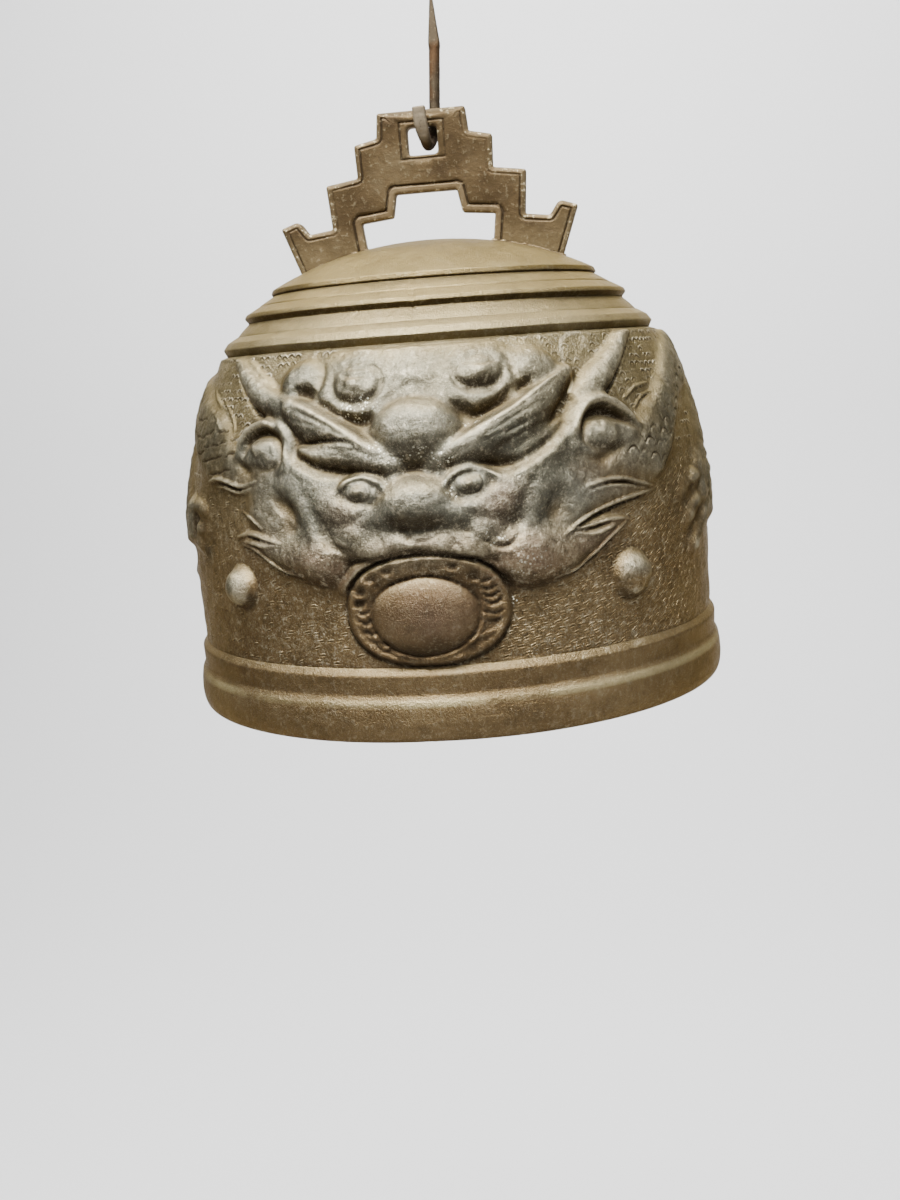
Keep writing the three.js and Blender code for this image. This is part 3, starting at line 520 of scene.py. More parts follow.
def hair_lines(r):
    """Fine raised and cut lines over the masses."""
    r.groove([(-10, 110.8), (-4, 113.2), (2, 113.8), (8, 112.8), (12, 110.8)], [1.2, 1.8, 1.8, 1.2],
        [0.1, 0.3, 0.3, 0.1])
    r.groove([(-26, 119.6), (-21, 117.6), (-16, 118.6)], [0.6, 0.9, 0.6], [0.3, 0.7, 0.3])
    r.groove([(-24, 121.6), (-19, 120.4), (-14, 121)], [0.5, 0.8, 0.5], [0.3, 0.6, 0.3])
    r.groove([(18, 120.6), (24, 119), (30, 120.4)], [0.5, 0.8, 0.5], [0.3, 0.6, 0.3])
    r.groove([(-42, 98.4), (-34, 98.8), (-27, 98.8), (-19, 97.2)], [0.6, 1.2, 1.3, 0.7],
        [0.5, 1.8, 1.8, 0.5], 0.8)
    r.line([(-42, 110.4), (-32, 106.6), (-22, 101.6)], [0.5, 0.8, 0.5], [0.4, 0.8, 0.4])
    r.groove([(-44, 109.2), (-33, 105.2), (-22, 99.8)], [0.4, 0.7, 0.4], [0.3, 0.7, 0.3])
    for start, end in (((-46, 106.6), (-22, 99.4)), ((-43, 103.8), (-24, 98.6)),
            ((-40, 101.4), (-26, 97.8)), ((-34, 95), (-12, 91.6)), ((-30, 92.8), (-12, 90.2)),
            ((20, 96), (44, 106.6)), ((22, 94), (47, 104)), ((26, 93), (47, 101.4)),
            ((16, 93.4), (36, 99.6))):
        bow = ((start[0] + end[0]) / 2, (start[1] + end[1]) / 2 + 0.5)
        r.groove([start, bow, end], [0.4, 0.7, 0.4], [0.15, 0.42, 0.15])
    r.line([(20, 99.6), (32, 104.8), (42, 110), (56, 116.6)], [0.5, 0.9, 0.9, 0.5], [0.4, 0.9, 0.9, 0.4])
    once_round = np.linspace(0, 2 * math.pi, 11)
    for cu, cv in ((-18, 83), (16.6, 83.6)):
        for reach, cut in ((4.4, 0.8), (2.9, 1), (1.5, 0.9)):
            ring = [(cu + reach * math.cos(a), cv + 0.72 * reach * math.sin(a)) for a in once_round]
            r.groove(ring, 0.6, cut)
    r.groove([(-16.4, 76), (-20.6, 73.4), (-26.4, 72.2)], [1.2, 1.9, 1.1], [0.3, 0.5, 0.2])
    r.groove([(14.8, 75.6), (19.4, 73), (25.4, 72)], [1.2, 1.9, 1.1], [0.3, 0.5, 0.2])
    r.groove([(-52, 84), (-47, 79.4), (-42, 76.4), (-39, 72)], [2.2, 3.4, 3, 1.6], [0.4, 0.9, 0.9, 0.4],
        0.9)
    r.groove([(-36.4, 82.4), (-32.4, 76.2), (-30, 70), (-26.6, 65.8), (-20, 64)], [1.6, 2.6, 2.6, 1.8, 1.2],
        [0.2, 0.4, 0.8, 1.3, 0.6])
    r.groove([(43, 88), (47, 86), (52, 83)], [3.2, 4, 2.8], [0.3, 0.7, 0.3])
    r.groove([(36, 82.6), (32.4, 76.4), (30.6, 70.4), (31, 66.6)], [1.4, 2.4, 2.4, 1.4],
        [0.2, 0.6, 0.7, 0.3])
    r.groove([(31, 66.6), (27.6, 63.8), (23.6, 63.6), (19, 66)], [0.7, 1.1, 1.1, 0.6], [0.5, 1.1, 1.1, 0.4])
    for cu, cv, size in ((-2.6, 68, 1.1), (15, 69, 1.2), (20.6, 65.6, 0.9)):
        r.dent((cu, cv), (size * 1.3, size * 0.8), 0.7)
    for points in ([(-13, 70), (-11, 67.4), (-10.6, 64.8)], [(-6, 69), (-2, 66.8), (3, 67), (7, 69)],
                   [(9, 68.6), (10.6, 66), (13, 63.6)]):
        r.groove(points, [0.5, 1, 0.5], [0.2, 0.5, 0.2])


def lock_lines(r):
    """The doubled edges of the leaf-shaped locks and the grooves of the horns."""
    r.groove([(-86, 124.2), (-78, 118.6), (-70, 113.4), (-64, 109.6), (-59, 108)], [1, 1.4, 1.6, 1.4, 1],
        [0.8, 1.2, 1.3, 1.2, 0.6])
    r.line([(-78, 127.4), (-70, 124.2), (-62, 120.4), (-57, 118)], [0.9, 1.2, 1.2, 0.8], [0.7, 1.1, 1, 0.4])
    r.groove([(98, 126.6), (91, 121.6), (84, 116.4), (78, 111.6), (71, 106.8)], [1, 1.4, 1.6, 1.4, 1.1],
        [0.8, 1.3, 1.4, 1.2, 0.6])
    for line in ([(-91, 86.6), (-83, 87.6), (-75, 86.6), (-68, 85.4), (-60, 87)],
                 [(-72, 68.4), (-65, 69.8), (-58, 69.2), (-48, 67)],
                 [(-69, 66.2), (-62, 64.6), (-55, 61.2), (-48, 57.8), (-40, 56.4)],
                 [(56, 79), (64, 80.2), (72, 79.8), (80, 77.6), (88, 75.6)],
                 [(88, 75), (79, 74.2), (70, 73), (60, 70.8), (52, 68), (46, 65)],
                 [(73, 66.8), (64, 67.6), (56, 66.6), (48, 66)],
                 [(72, 66), (65, 62.2), (58, 57.6), (50, 53.2), (42, 51.2)]):
        inner = [(u, v - 1.3) for u, v in line[1:-1]]
        r.line(line, [0.6, 0.8, 0.9, 0.8, 0.5], [0.8, 1.2, 1.3, 1.2, 0.6])
        r.groove(inner, 0.7, [0.5, 0.9, 0.5])
    r.line([(-86, 84.8), (-78, 84.8), (-70, 83.4), (-62, 84.6)], [0.5, 0.8, 0.8, 0.5], [0.6, 1.1, 1.1, 0.5])
    r.line([(-70, 67.2), (-62, 66.6), (-55, 66), (-49, 66.4)], [0.5, 0.8, 0.8, 0.5], [0.5, 1, 1, 0.4])
    r.line([(-69, 77.2), (-63, 75), (-57, 71.6)], [0.5, 0.8, 0.5], [0.6, 1.1, 0.6])
    r.line([(58, 77.2), (66, 78.2), (74, 77.4), (82, 75.6)], [0.5, 0.8, 0.8, 0.5], [0.5, 0.9, 0.9, 0.4])
    r.line([(66, 65.4), (58, 63.8), (50, 64.4)], [0.5, 0.8, 0.5], [0.5, 1, 0.5])
    r.line([(82, 106), (90, 109.2), (99, 110)], [0.6, 0.8, 0.5], [0.5, 0.8, 0.4])
    r.line([(86, 102.6), (92, 106), (98, 107)], [0.5, 0.7, 0.4], [0.4, 0.6, 0.3])


def scale_rows(r):
    """Ragged cracks on the left body, thin crescent scales on the right one, and fine ridges."""
    for points in ([(-118, 104), (-105, 101), (-95, 102.6), (-89, 104)], [(-97, 98), (-88, 98.6),
            (-80, 100)], [(-98, 93), (-88, 94.2), (-81, 95.4)], [(-92, 89), (-82, 90), (-74, 90.8)],
            [(-79, 95), (-73, 96.4)], [(-124, 110), (-112, 107), (-100, 107.6)], [(-94, 109), (-88, 106.6)],
            [(-86, 102.8), (-80, 103.8)], [(-112, 96.6), (-104, 95.6), (-96, 96.6)],
            [(-78, 100.6), (-73, 101)]):
        r.crack(points, [0.3, 0.65, 0.65, 0.3], 0.42)
    r.scales([(132, 119), (112, 108), (98, 101), (84, 95), (72, 88), (78, 83), (88, 80.6), (100, 87.6),
        (112, 98), (132, 108)], 74, (4.6, 5.6), 0.06, 0.5)
    r.crack([(118, 100), (108, 95), (100, 88), (92, 80)], [0.5, 0.8, 0.5], 0.4)
    for points in ([(-92, 114.6), (-86, 112), (-80, 108), (-77, 104)], [(-98, 110.6), (-90, 107.6),
            (-84, 104)], [(-108, 118), (-98, 114.4), (-90, 111.6)]):
        r.line(points, [0.5, 0.8, 0.5], [0.3, 0.6, 0.3])


def ground(r):
    """The bare skin between the masses, for the punch marks, and the scratch over it."""
    r.bare = smoothstep(0.9, 0.2, r.h)
    r.h += r.bare * (speckle(r.h.shape, 6) * 0.10 + speckle(r.h.shape, 2.4) * 0.03)
    scratch = r.blank()
    scratch.line([(71, 129), (66, 128.6), (60, 126), (58.5, 121), (57.5, 116), (59, 113), (57, 110)], 0.75,
        1)
    r.mark += 5 * scratch.h


def patches(r, listed):
    """A soft share over the skin, from ovals given as (place, size, share, turn)."""
    field = r.blank()
    for at, size, share, turn in listed:
        field.mound(at, size, share, turn, 0.8, 0.1)
    return field.h


def stains(r):
    """Where the patina is darker and bluer, and where shade is painted under the nose, lip, brows, bosses and
    paws and on the disc's lower half, as a share.
    """
    dark = patches(r, (((32, 97), (24, 7), 0.9, 16), ((0, 100), (13, 10), 0.6, 0), ((-0.4, 72.6),
        (15.8, 4.2), 2, 0), ((11, 123), (6, 5), 0.8, 20), ((-36, 125), (7, 4), 0.7, 0), ((24, 113.6),
        (10, 3), 0.7, 0), ((-27, 91.6), (16, 3), 0.7, -14), ((-40, 114.6), (7, 4), 0.8, 0), ((66, 98),
        (14, 5), 0.5, 0), ((22, 107), (12, 3.6), 0.6, 0), ((-20, 106), (12, 3.6), 0.5, 0), ((-12, 84),
        (6, 4), 0.3, 0), ((95, 96), (20, 10), 0.3, 40), ((-58, 99), (14, 7), 0.3, 0), ((31, 114), (6, 3),
        0.5, 0), ((-71, 45.6), (8, 3.6), 0.9, 0), ((73, 42), (8, 4), 1, 0), ((132, 60), (14, 9), 0.8, 0),
        ((-132, 60), (14, 6), 0.8, 0), ((0, 60.6), (22, 3), 0.5, 0), ((-18.4, 82.6), (5.4, 3.6), 0.9, -6),
        ((17.4, 83), (5.4, 3.6), 0.9, 8), ((0, 32), (17, 6), 1.2, 0), ((-4, 39), (15, 10), 0.5, 0),
        ((-46, 97), (3, 7), 0.8, 0), ((-98, 60.6), (9, 5), 0.9, 0), ((-104, 72), (9, 1.6), 0.7, 4),
        ((112, 66), (9, 4), 0.7, 30), ((106, 70), (4, 3), 0.8, 0), ((110, 56), (5, 7), 0.6, 0)))
    return blurred(dark, 3) * (0.75 + 0.25 * speckle(r.h.shape, 5))


def blushes(r):
    """Where the bare metal shows reddish brown, as a share."""
    warm = patches(r, (((-33, 60), (15, 9), 0.9, -8), ((34, 58), (17, 11), 0.9, 8), ((0, 66), (20, 5),
        0.5, 0), ((-24, 76), (10, 8), 0.5, -30), ((26, 76), (12, 9), 0.6, 30), ((60, 62), (16, 6), 0.6, 10),
        ((-60, 66), (14, 5), 0.5, 10), ((2, 44), (17, 12), 0.9, 0), ((64, 82), (16, 8), 0.4, 0)))
    return blurred(warm, 3) * (0.8 + 0.2 * speckle(r.h.shape, 6))


def deposits(r):
    """Where pale specks of old polish and verdigris have gathered, as a share."""
    pale = r.blank()
    for at, size, share in (((-12, 95), (5, 3), 1), ((-7, 92), (3, 3), 1), ((9, 92), (4, 3), 1),
            ((-18, 108.6), (8, 4), 1), ((21, 102), (7, 3), 0.7), ((10, 83), (2.4, 3), 0.9),
            ((11, 79.6), (2.4, 1.6), 1), ((-9.4, 84.4), (1.6, 1.4), 1), ((-33, 112), (3, 3), 0.7),
            ((22, 66), (5, 3), 0.5), ((33, 58), (8, 5), 0.4), ((-28.6, 44.6), (3, 2), 1),
            ((28.4, 45), (3, 2), 1), ((-62, 34), (1.2, 1), 3), ((0, 93.6), (9, 2), 0.5)):
        pale.mound(at, size, share, 0, 0.7, 0.1)
    return pale.h + 0.12 * smoothstep(0.5, 1.5, speckle(r.h.shape, 14))


def matched_flanks(r):
    """Where the front's carving meets the back's, both take the mean of the two."""
    share = smoothstep(HALF_ROUND / 2 - 10, HALF_ROUND / 2, np.abs(r.u))
    r.h += ((r.h[0] + r.h[-1]) / 2 - r.h) * share


def carved():
    """The whole half round of carving, from one flank's middle to the other's."""
    r = Relief(np.arange(-HALF_ROUND / 2, HALF_ROUND / 2 + MASK_STEP, MASK_STEP), skin_rows)
    for masses, softness in (((bodies, paws, head, mane, cheeks), 3.0), ((muzzle, nose), 1.8),
            ((ears, ear_hollows, curls, forehead, eyes, horns, brows, studs, rough_paws), 1.6),
            ((hair_lines, disc), 0.7)):
        for mass in masses:
            mass(r)
        r.h = blurred(r.h, softness)
    lock_lines(r)
    scale_rows(r)
    worn = speckle(r.h.shape, 1.0) * 0.04 + speckle(r.h.shape, 2.2) * 0.09 + speckle(r.h.shape, 6) * 0.18
    r.h += worn * smoothstep(0.5, 2.0, r.h) * smoothstep(-0.3, 0.2, off_disc(r))
    ground(r)
    r.mark -= 0.55 * on_ring(r)
    r.stain, r.blush, r.deposit = stains(r), blushes(r), deposits(r)
    matched_flanks(r)
    r.h *= smoothstep(BODY_TOP, BODY_TOP - 1.6, r.v) * smoothstep(BODY_FOOT - 0.2, BODY_FOOT + 1.2, r.v)
    beyond = np.maximum(r.h - (PAW_REACH - skin(r.v)[0]), 0)
    r.h -= beyond * smoothstep(100, 112, np.abs(r.u))
    return r


# Meshes

skin_curve = spline(BODY_CURVE, 14)[0]
skin_rows = np.append(np.arange(BODY_FOOT, BODY_TOP, MASK_STEP), [BODY_TOP])


def skin(v):
    """Radius of the body's skin at heights above the rim, with its outward direction as (out, up)."""
    radius = np.interp(v, skin_curve[:, 1], skin_curve[:, 0])
    fall = np.interp(v, skin_curve[:, 1], np.gradient(skin_curve[:, 0], skin_curve[:, 1]))
    length = np.sqrt(1 + fall ** 2)
    return radius, 1 / length, -fall / length


def turned(angle, radius, height):
    """Points round the bell's axis, in millimetres from the middle of the rim, with the face at angle 0."""
    return np.stack([np.sin(angle) * radius, -np.cos(angle) * radius, height], -1)


def mesh_piece(name, points, faces, role, material, **fields):
    """A visible piece from points in the bell's millimetres, with named values at its points."""
    body, stands_for, slot = role
    mesh = bpy.data.meshes.new(name)
    mesh.from_pydata((points.reshape(-1, 3) * MM + (AXIS_X, AXIS_Y, RIM_Z)).tolist(), [], faces)
    for field, values in fields.items():
        layer = mesh.attributes.new(field, "FLOAT", "POINT")
        layer.data.foreach_set("value", np.ascontiguousarray(values, dtype=np.float32).ravel())
    mesh.shade_smooth()
    mesh.materials.append(material)
    piece = bpy.data.objects.new(name, mesh)
    bpy.context.scene.collection.objects.link(piece)
    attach(piece, body)
    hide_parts(stands_for)


def grid_faces(rows, columns, loop=False, tube=False):
    """Faces of a grid of points, listed row after row, that can close on itself either way."""
    i, j = np.meshgrid(np.arange(rows - (not loop)), np.arange(columns - (not tube)), indexing="ij")
    next_i, next_j = (i + 1) % rows, (j + 1) % columns
    corners = ((i, j), (next_i, j), (next_i, next_j), (i, next_j))
    return np.stack([row * columns + column for row, column in corners], -1).reshape(-1, 4).tolist()


def panel(name, u, fields):
    """A stretch of the carved body, from the upper ledge to under the shoulder's lip."""
    lift = fields["height"]
    broad, fine = lift - blurred(lift, 6), lift - blurred(lift, 2)
    # The cavity and facing fields set painted shade in hollows and under downward slopes, and painted
    # highlights on ridges and upward slopes.
    fields = {**fields, "cavity": broad / BROAD_HOLLOW + fine / FINE_HOLLOW + fields["mark"] * MARK_SHARE,
              "facing": -np.gradient(blurred(lift, 1), MASK_STEP, axis=1)}
    del fields["mark"]
    radius, out, up = skin(skin_rows)
    points = turned(u[:, None] / RELIEF_RADIUS, radius + out * lift, skin_rows + up * lift)
    tuck = points[:, -1:] * (SEAM_TUCK, SEAM_TUCK, 1) + (0, 0, SEAM_RISE)
    points = np.concatenate([points, tuck], 1)
    fields = {field: np.concatenate([values, values[:, -1:]], 1) for field, values in fields.items()}
    mesh_piece(name, points, grid_faces(*points.shape[:2]), SHELL, bronze, **fields)


def body_panels():
    carving = carved()
    places = carving.u[:, 0]
    fields = {"height": carving.h, "stain": carving.stain, "blush": carving.blush,
        "deposit": carving.deposit, "bare": carving.bare, "mark": carving.mark}
    front = np.abs(places) <= MASK_HALF + MASK_STEP / 2
    mask_u = places[front]
    right, left = places >= mask_u[-1], places <= mask_u[0]
    flank_u = np.concatenate([places[right], places[left] + HALF_ROUND])
    order = np.unique(np.round(flank_u, 4), return_index=True)[1]
    mask = {field: values[front] for field, values in fields.items()}
    flank = {}
    for field, values in fields.items():
        flank[field] = np.concatenate([values[right], values[left]])[order]
    panel("mask_front", mask_u, mask)
    panel("mask_back", mask_u + HALF_ROUND, mask)
    panel("flank_right", flank_u[order], flank)
    panel("flank_left", flank_u[order] + HALF_ROUND, flank)


def rounded_profile(profile, radius):
    """A profile with its corners eased by the given radius in millimetres."""
    p = np.array(profile, float)
    out = [p[0]]
    for a, b, c in zip(p[:-2], p[1:-1], p[2:]):
        before, after = np.linalg.norm(b - a), np.linalg.norm(c - b)
        start = b + (a - b) * min(radius / before, 0.45)
        end = b + (c - b) * min(radius / after, 0.45)
        for t in (0, 0.25, 0.5, 0.75, 1):
            out.append(start * (1 - t) ** 2 + b * 2 * t * (1 - t) + end * t * t)
    out.append(p[-1])
    return np.array(out)


def split_long(profile, longest):
    """Extra points on the long legs of a profile."""
    out = [profile[0]]
    for a, b in zip(profile[:-1], profile[1:]):
        count = max(int(np.linalg.norm(b - a) / longest), 1)
        out += [a + (b - a) * (k + 1) / count for k in range(count)]
    return np.array(out)


def lathe(name, profile, climbs, easing):
    """A profile turned round the bell's axis, a little uneven as a casting is.

    It climbs the outside (1), or falls down it and climbs the inside (-1).
    """
    line = split_long(rounded_profile(profile, easing), CAST_LEG)
    angle = np.arange(CAST_STEPS) / CAST_STEPS * 2 * math.pi
    drift = speckle((CAST_STEPS, len(line)), CAST_DRIFT)
    drift = (drift + np.roll(drift[::-1], 1, 0)) / 2 * CAST_WOBBLE
    radius = line[:, 0] - np.abs(drift) * (line[:, 0] > 4)
    points = turned(angle[:, None], radius, np.maximum(line[:, 1] + 0.4 * drift, 0))
    step = np.diff(line, axis=0)
    length = np.linalg.norm(step, axis=1)
    bend = np.zeros(len(line))
    bend[1:-1] = step[:-1, 0] * step[1:, 1] - step[:-1, 1] * step[1:, 0]
    bend[1:-1] /= length[:-1] * length[1:] + 1e-9
    slope = np.gradient(line, axis=0)
    facing = -climbs * slope[:, 0] / (np.linalg.norm(slope, axis=1) + 1e-9)
    # The bend and slope of the profile set painted shade in its grooves and under its steps, and painted
    # highlights on its edges and upper faces.
    mesh_piece(name, points, grid_faces(CAST_STEPS, len(line), loop=True), SHELL, bronze,
               height=np.full(radius.shape, 0.6), facing=np.broadcast_to(facing, radius.shape),
               cavity=np.broadcast_to(np.convolve(bend, np.ones(3) / 1.5, mode="same"), radius.shape))


def dome_height(radius):
    return DOME_FOOT + (DOME_TOP - DOME_FOOT) * (1 - np.clip(radius / DOME_RADIUS, 0, 1) ** DOME_FULLNESS)


def shoulder():
    """The stepped mouldings over the body, with their incised lines, and the dome."""
    mouldings = [(78, 127.4), (79.8, BODY_TOP + 0.7), (81, 131.9), (79.2, 134.2), (75.5, 136.3),
        (75.2, 136.0), (74.8, 136.7), (73.2, 138.4), (70.4, 141.0), (71.9, 142.9), (71.2, 144.2),
        (69.2, 145.3), (66.5, 146.8), (66.2, 146.4), (65.8, 147.2), (63.8, 148.4), (61.2, 149.9),
        (60.4, 150.4), (61.2, 151.0)]
    dome = [(radius, dome_height(radius)) for radius in DOME_RADIUS * np.linspace(1, 0, 16)]
    lathe("shoulder_and_dome", mouldings + dome, 1, 0.4)


def foot_and_inside():
    """The two bands round the rim with their ledges, the lip and the wall inside."""
    bands = [(96.6, BODY_FOOT + 0.6), (97.7, BODY_FOOT), (UPPER_BAND_RADIUS, UPPER_BAND_TOP),
        (UPPER_BAND_RADIUS - 0.3, LOWER_BAND_TOP + LEDGE_RISE), (LOWER_BAND_RADIUS - 0.7, LOWER_BAND_TOP),
        (LOWER_BAND_RADIUS - 0.2, 10.4), (LOWER_BAND_RADIUS, 6.6), (LOWER_BAND_RADIUS - 0.3, 3.4),
        (LOWER_BAND_RADIUS - 1.0, 1.2), (LIP_RADIUS - 0.4, 0.02)]
    wall = [(94.4, 0.02), (93.2, 1.2), (93.1, 24), (93.0, 50), (92.9, 68), (90.4, 86), (85.8, 104),
        (79.2, 119), (70, 130), (57, 140), (46.6, 149), (26.6, 157.4), (0.4, 160)]
    lathe("rim_and_inside", bands + wall, -1, 0.7)


# Crest: a flat plate with incised borders, modelled in its own plane as (x, z)

CREST_HALF = [(16.4, 214.1), (17.2, 205.2), (25.8, 203.4), (25.4, 191.6), (37.6, 189.8), (36.4, 173.9),
    (45.4, 172.7), (48.4, 177), (50, 177.6), (56, 175.6), (49.8, 158.4)]
WINDOW_HALF = [(24, 165.2), (25.2, 175.2), (13.1, 176.4), (11.5, 184.8)]
HOOK_HOLE = [(5.6, 198), (5.6, 208.2), (-5.6, 208.2), (-5.6, 198)]
PLATE_HALF_THICK = 3.0
EDGE_ROUND = 0.8
BORDER = 2.1
WINDOW_BORDER = 2.8
HOLE_FRAME = (8.2, 6.6)
HOLE_MIDDLE = 203.4
POINT_RINGS = (0.12, 0.32, 0.7, 1.15, 1.5, 1.8, 2.1, 2.4, 2.7, 3.0, 3.3)
POINT_PITCH = 0.8
MIDDLE_FROM = 3.6
OUTLINE_EASE = 0.9
HOLE_EASE = 1.8
FOOT_SINK = 0.3
CAST_GRID = (260, 170)
CAST_CORNER = (-60, 145)
CAST_CELLS = 2
SOLDER_WAY = (24.4, 49.2)
SOLDER_ENDS = (23.9, 49.7)
SOLDER_HALF = 3.1
SOLDER_BEAD = 0.75
SOLDER_SIDES = 10


def closed_loop(corners, radius, spacing=0.55):
    """A closed outline with its corners eased, as evenly spread points."""
    ring = [corners[-1], *corners, corners[0]]
    return split_long(rounded_profile(ring, radius)[1:-1], spacing)


def mirrored(points):
    """The other half of an outline, travelled on from the first."""
    return [(-x, z) for x, z in reversed(points)]


def plate_points(loops):
    """Points for the plate's face: rings along its edges, rows over the incised lines, and a plain grid."""
    rings = []
    for loop in loops:
        step = np.roll(loop, -1, 0) - np.roll(loop, 1, 0)
        inward = np.stack([step[:, 1], -step[:, 0]], -1) / (np.linalg.norm(step, axis=1)[:, None] + 1e-9)
        rings += [loop + inward * reach for reach in POINT_RINGS]
    for half, offset, count, order in ((*HOLE_FRAME, 30, 1), (*HOLE_FRAME[::-1], 24, -1)):
        spread = np.linspace(-half, half, count)
        for row in (side * offset + shift for side in (-1, 1) for shift in (-0.6, -0.3, 0, 0.3, 0.6)):
            line = np.stack([spread, np.full(count, row)], -1)[:, ::order]
            rings.append(line + (0, HOLE_MIDDLE))
    middle = np.meshgrid(np.arange(-57, 57, POINT_PITCH), np.arange(150, 216, POINT_PITCH))
    return np.vstack(rings), np.stack(middle, -1).reshape(-1, 2)


def crest_plate():
    foot = [(x, dome_height(x) - FOOT_SINK) for x in (49.5, 43, 36, 30, 24.1)]
    half = CREST_HALF + foot + WINDOW_HALF
    outline, hole = closed_loop(half + mirrored(half), OUTLINE_EASE), closed_loop(HOOK_HOLE, HOLE_EASE)
    outer = np.array(mirrored(CREST_HALF) + CREST_HALF)
    window = foot[-1:] + WINDOW_HALF
    window = np.array(window + mirrored(window))

    def to_edge(points):
        return np.minimum(*(off_line(*points.T, np.vstack([loop, loop[:1]])) for loop in (outline, hole)))

    def in_plate(points):
        return within(*points.T, outline) & ~within(*points.T, hole)

    near, middle = plate_points((outline, hole))
    near = near[in_plate(near) & (to_edge(near) > POINT_RINGS[0] - 0.02)]
    middle = middle[in_plate(middle) & (to_edge(middle) > MIDDLE_FROM)]
    count, hole_count = len(outline), len(hole)
    edges = [(k, (k + 1) % count) for k in range(count)]
    edges += [(count + k, count + (k + 1) % hole_count) for k in range(hole_count)]
    points = [Vector(p) for p in np.vstack([outline, hole, near, middle]).tolist()]
    flat, _, triangles, *_ = delaunay_2d_cdt(points, edges, [], 0, 1e-4)
    flat, triangles = np.array([tuple(p) for p in flat]), np.array(triangles)
    triangles = triangles[in_plate(flat[triangles].mean(1))]
    a, b = flat[triangles[:, 1]] - flat[triangles[:, 0]], flat[triangles[:, 2]] - flat[triangles[:, 0]]
    clockwise = a[:, 0] * b[:, 1] - a[:, 1] * b[:, 0] < 0
    triangles[clockwise] = triangles[clockwise][:, ::-1]

    def notch(distance, at, half, depth):
        return depth * np.clip(1 - np.abs(distance - at) / half, 0, 1)

    cell = tuple(np.clip(((flat - CAST_CORNER) * CAST_CELLS).astype(int), 0, np.array(CAST_GRID) - 1).T)
    lumps = (speckle(CAST_GRID, 7) * 0.10 + speckle(CAST_GRID, 2.5) * 0.035)[cell]
    wander = (speckle(CAST_GRID, 12) * 0.12)[cell]
    worn = 0.5 + 0.5 * np.clip(wander * 8 + 0.6, -1, 1)
    edge, to_outer, to_window = to_edge(flat), off_line(*flat.T, outer), off_line(*flat.T, window)
    to_frame = np.max(np.abs(flat - (0, HOLE_MIDDLE)) - HOLE_FRAME, axis=1)
    grooves = np.maximum.reduce([notch(to_outer + wander, BORDER, 0.5, 0.6) * worn,
                                 notch(to_window + wander, WINDOW_BORDER, 0.55, 0.7),
                                 notch(to_frame, 0, 0.5, 0.5) * worn])
    rounding = EDGE_ROUND - np.sqrt(EDGE_ROUND ** 2 - (EDGE_ROUND - np.minimum(edge, EDGE_ROUND)) ** 2)
    slope = 0.32 * smoothstep(BORDER, 0.2, to_outer)
    face = PLATE_HALF_THICK - rounding - slope - grooves - 0.12 + np.clip(lumps, -0.3, 0.12)
    # cavity pales the rounded edges and the outer border, and sets painted shade in the cut grooves
    raised = np.maximum(smoothstep(1.0, 0.1, edge) * 0.9, 0.5 * smoothstep(BORDER, 1.6, to_outer))
    cavity = raised - grooves * 3.2
    band = smoothstep(WINDOW_BORDER, 2.4, to_window)

    total = len(flat)
    walls = [(near, far, far + total, near + total) for near, far in edges]
    sides = [np.stack([flat[:, 0], side * face, flat[:, 1]], -1) for side in (-1, 1)]
    faces = triangles.tolist() + (triangles[:, ::-1] + total).tolist() + walls
    mesh_piece("crest_plate", np.vstack(sides), faces, CREST, crest_bronze,
               cavity=np.tile(cavity, 2), band=np.tile(band, 2))


def solder():
    """The uneven seam of solder round each foot of the crest."""
    long_way, short_way = np.linspace(*SOLDER_WAY, 60), np.linspace(-SOLDER_HALF, SOLDER_HALF, 14)
    inner, outer = (np.full(14, x) for x in SOLDER_ENDS)
    xs = np.concatenate([long_way, outer, long_way[::-1], inner])
    ys = np.concatenate([np.full(60, -SOLDER_HALF), short_way, np.full(60, SOLDER_HALF), short_way[::-1]])
    angle = np.linspace(0, 2 * math.pi, SOLDER_SIDES, endpoint=False)
    for side, name in ((-1, "left"), (1, "right")):
        lumps = speckle((len(xs), 8), 1.6)
        lumps = (lumps + lumps[::-1]) / 2
        centre = np.stack([side * xs, ys, dome_height(np.hypot(xs, ys)) + 0.05 + 0.15 * lumps[:, 2]], -1)
        ahead = unit(np.roll(centre, -1, 0) - np.roll(centre, 1, 0))
        out = unit(np.cross(ahead, (0, 0, 1.0)))
        reach = (SOLDER_BEAD + 0.22 * lumps[:, 4:5]) * (1 + 0.12 * speckle((len(xs), SOLDER_SIDES), 1.2))
        points = tube(centre, out, np.cross(out, ahead), np.cos(angle) * reach,
            np.sin(angle) * reach * 0.75)
        faces = grid_faces(len(xs), SOLDER_SIDES, loop=True, tube=True)
        cavity = np.clip(lumps[:, :1] * 0.5, -0.6, 0.6) * np.ones(SOLDER_SIDES)
        mesh_piece(f"solder_{name}_foot", points, faces, CREST, crest_bronze, cavity=cavity,
                   band=np.full(reach.shape, 0.8))


def unit(vectors):
    return vectors / np.linalg.norm(vectors, axis=1)[:, None]


def tube(centre, side, other, across, upward):
    """Rings of points round a line, by their offsets along two directions square to it."""
    return centre[:, None] + side[:, None] * across[..., None] + other[:, None] * upward[..., None]


# Hook: a bent wire with a squared front tip and a square tang

HOOK_LINE = [(6.1, 6.6, 237.5), (5.5, 6.7, 229), (4.8, 6.6, 219), (4.3, 6.2, 211), (3.6, 5.2, 206.2),
    (2.8, 3.4, 203.2), (1.8, 0, 201.6), (1.3, -3.4, 203.2), (0.6, -5.3, 206.4), (0.1, -6.2, 210.4),
    (-0.1, -6.6, 214.6)]
WIRE_RADIUS = 2.05
WIRE_SIDES = 40
SPAN_POINTS = 26
FLAT_TIP = (13, 7)
RUBBED_TIP = (15, 8)
TURNS_SQUARE = (236, 239.5)
TANG_HALF = 2.2
TANG_FOOT = 238
TANG_TOP = 257.0
TANG_TAPER = 0.86


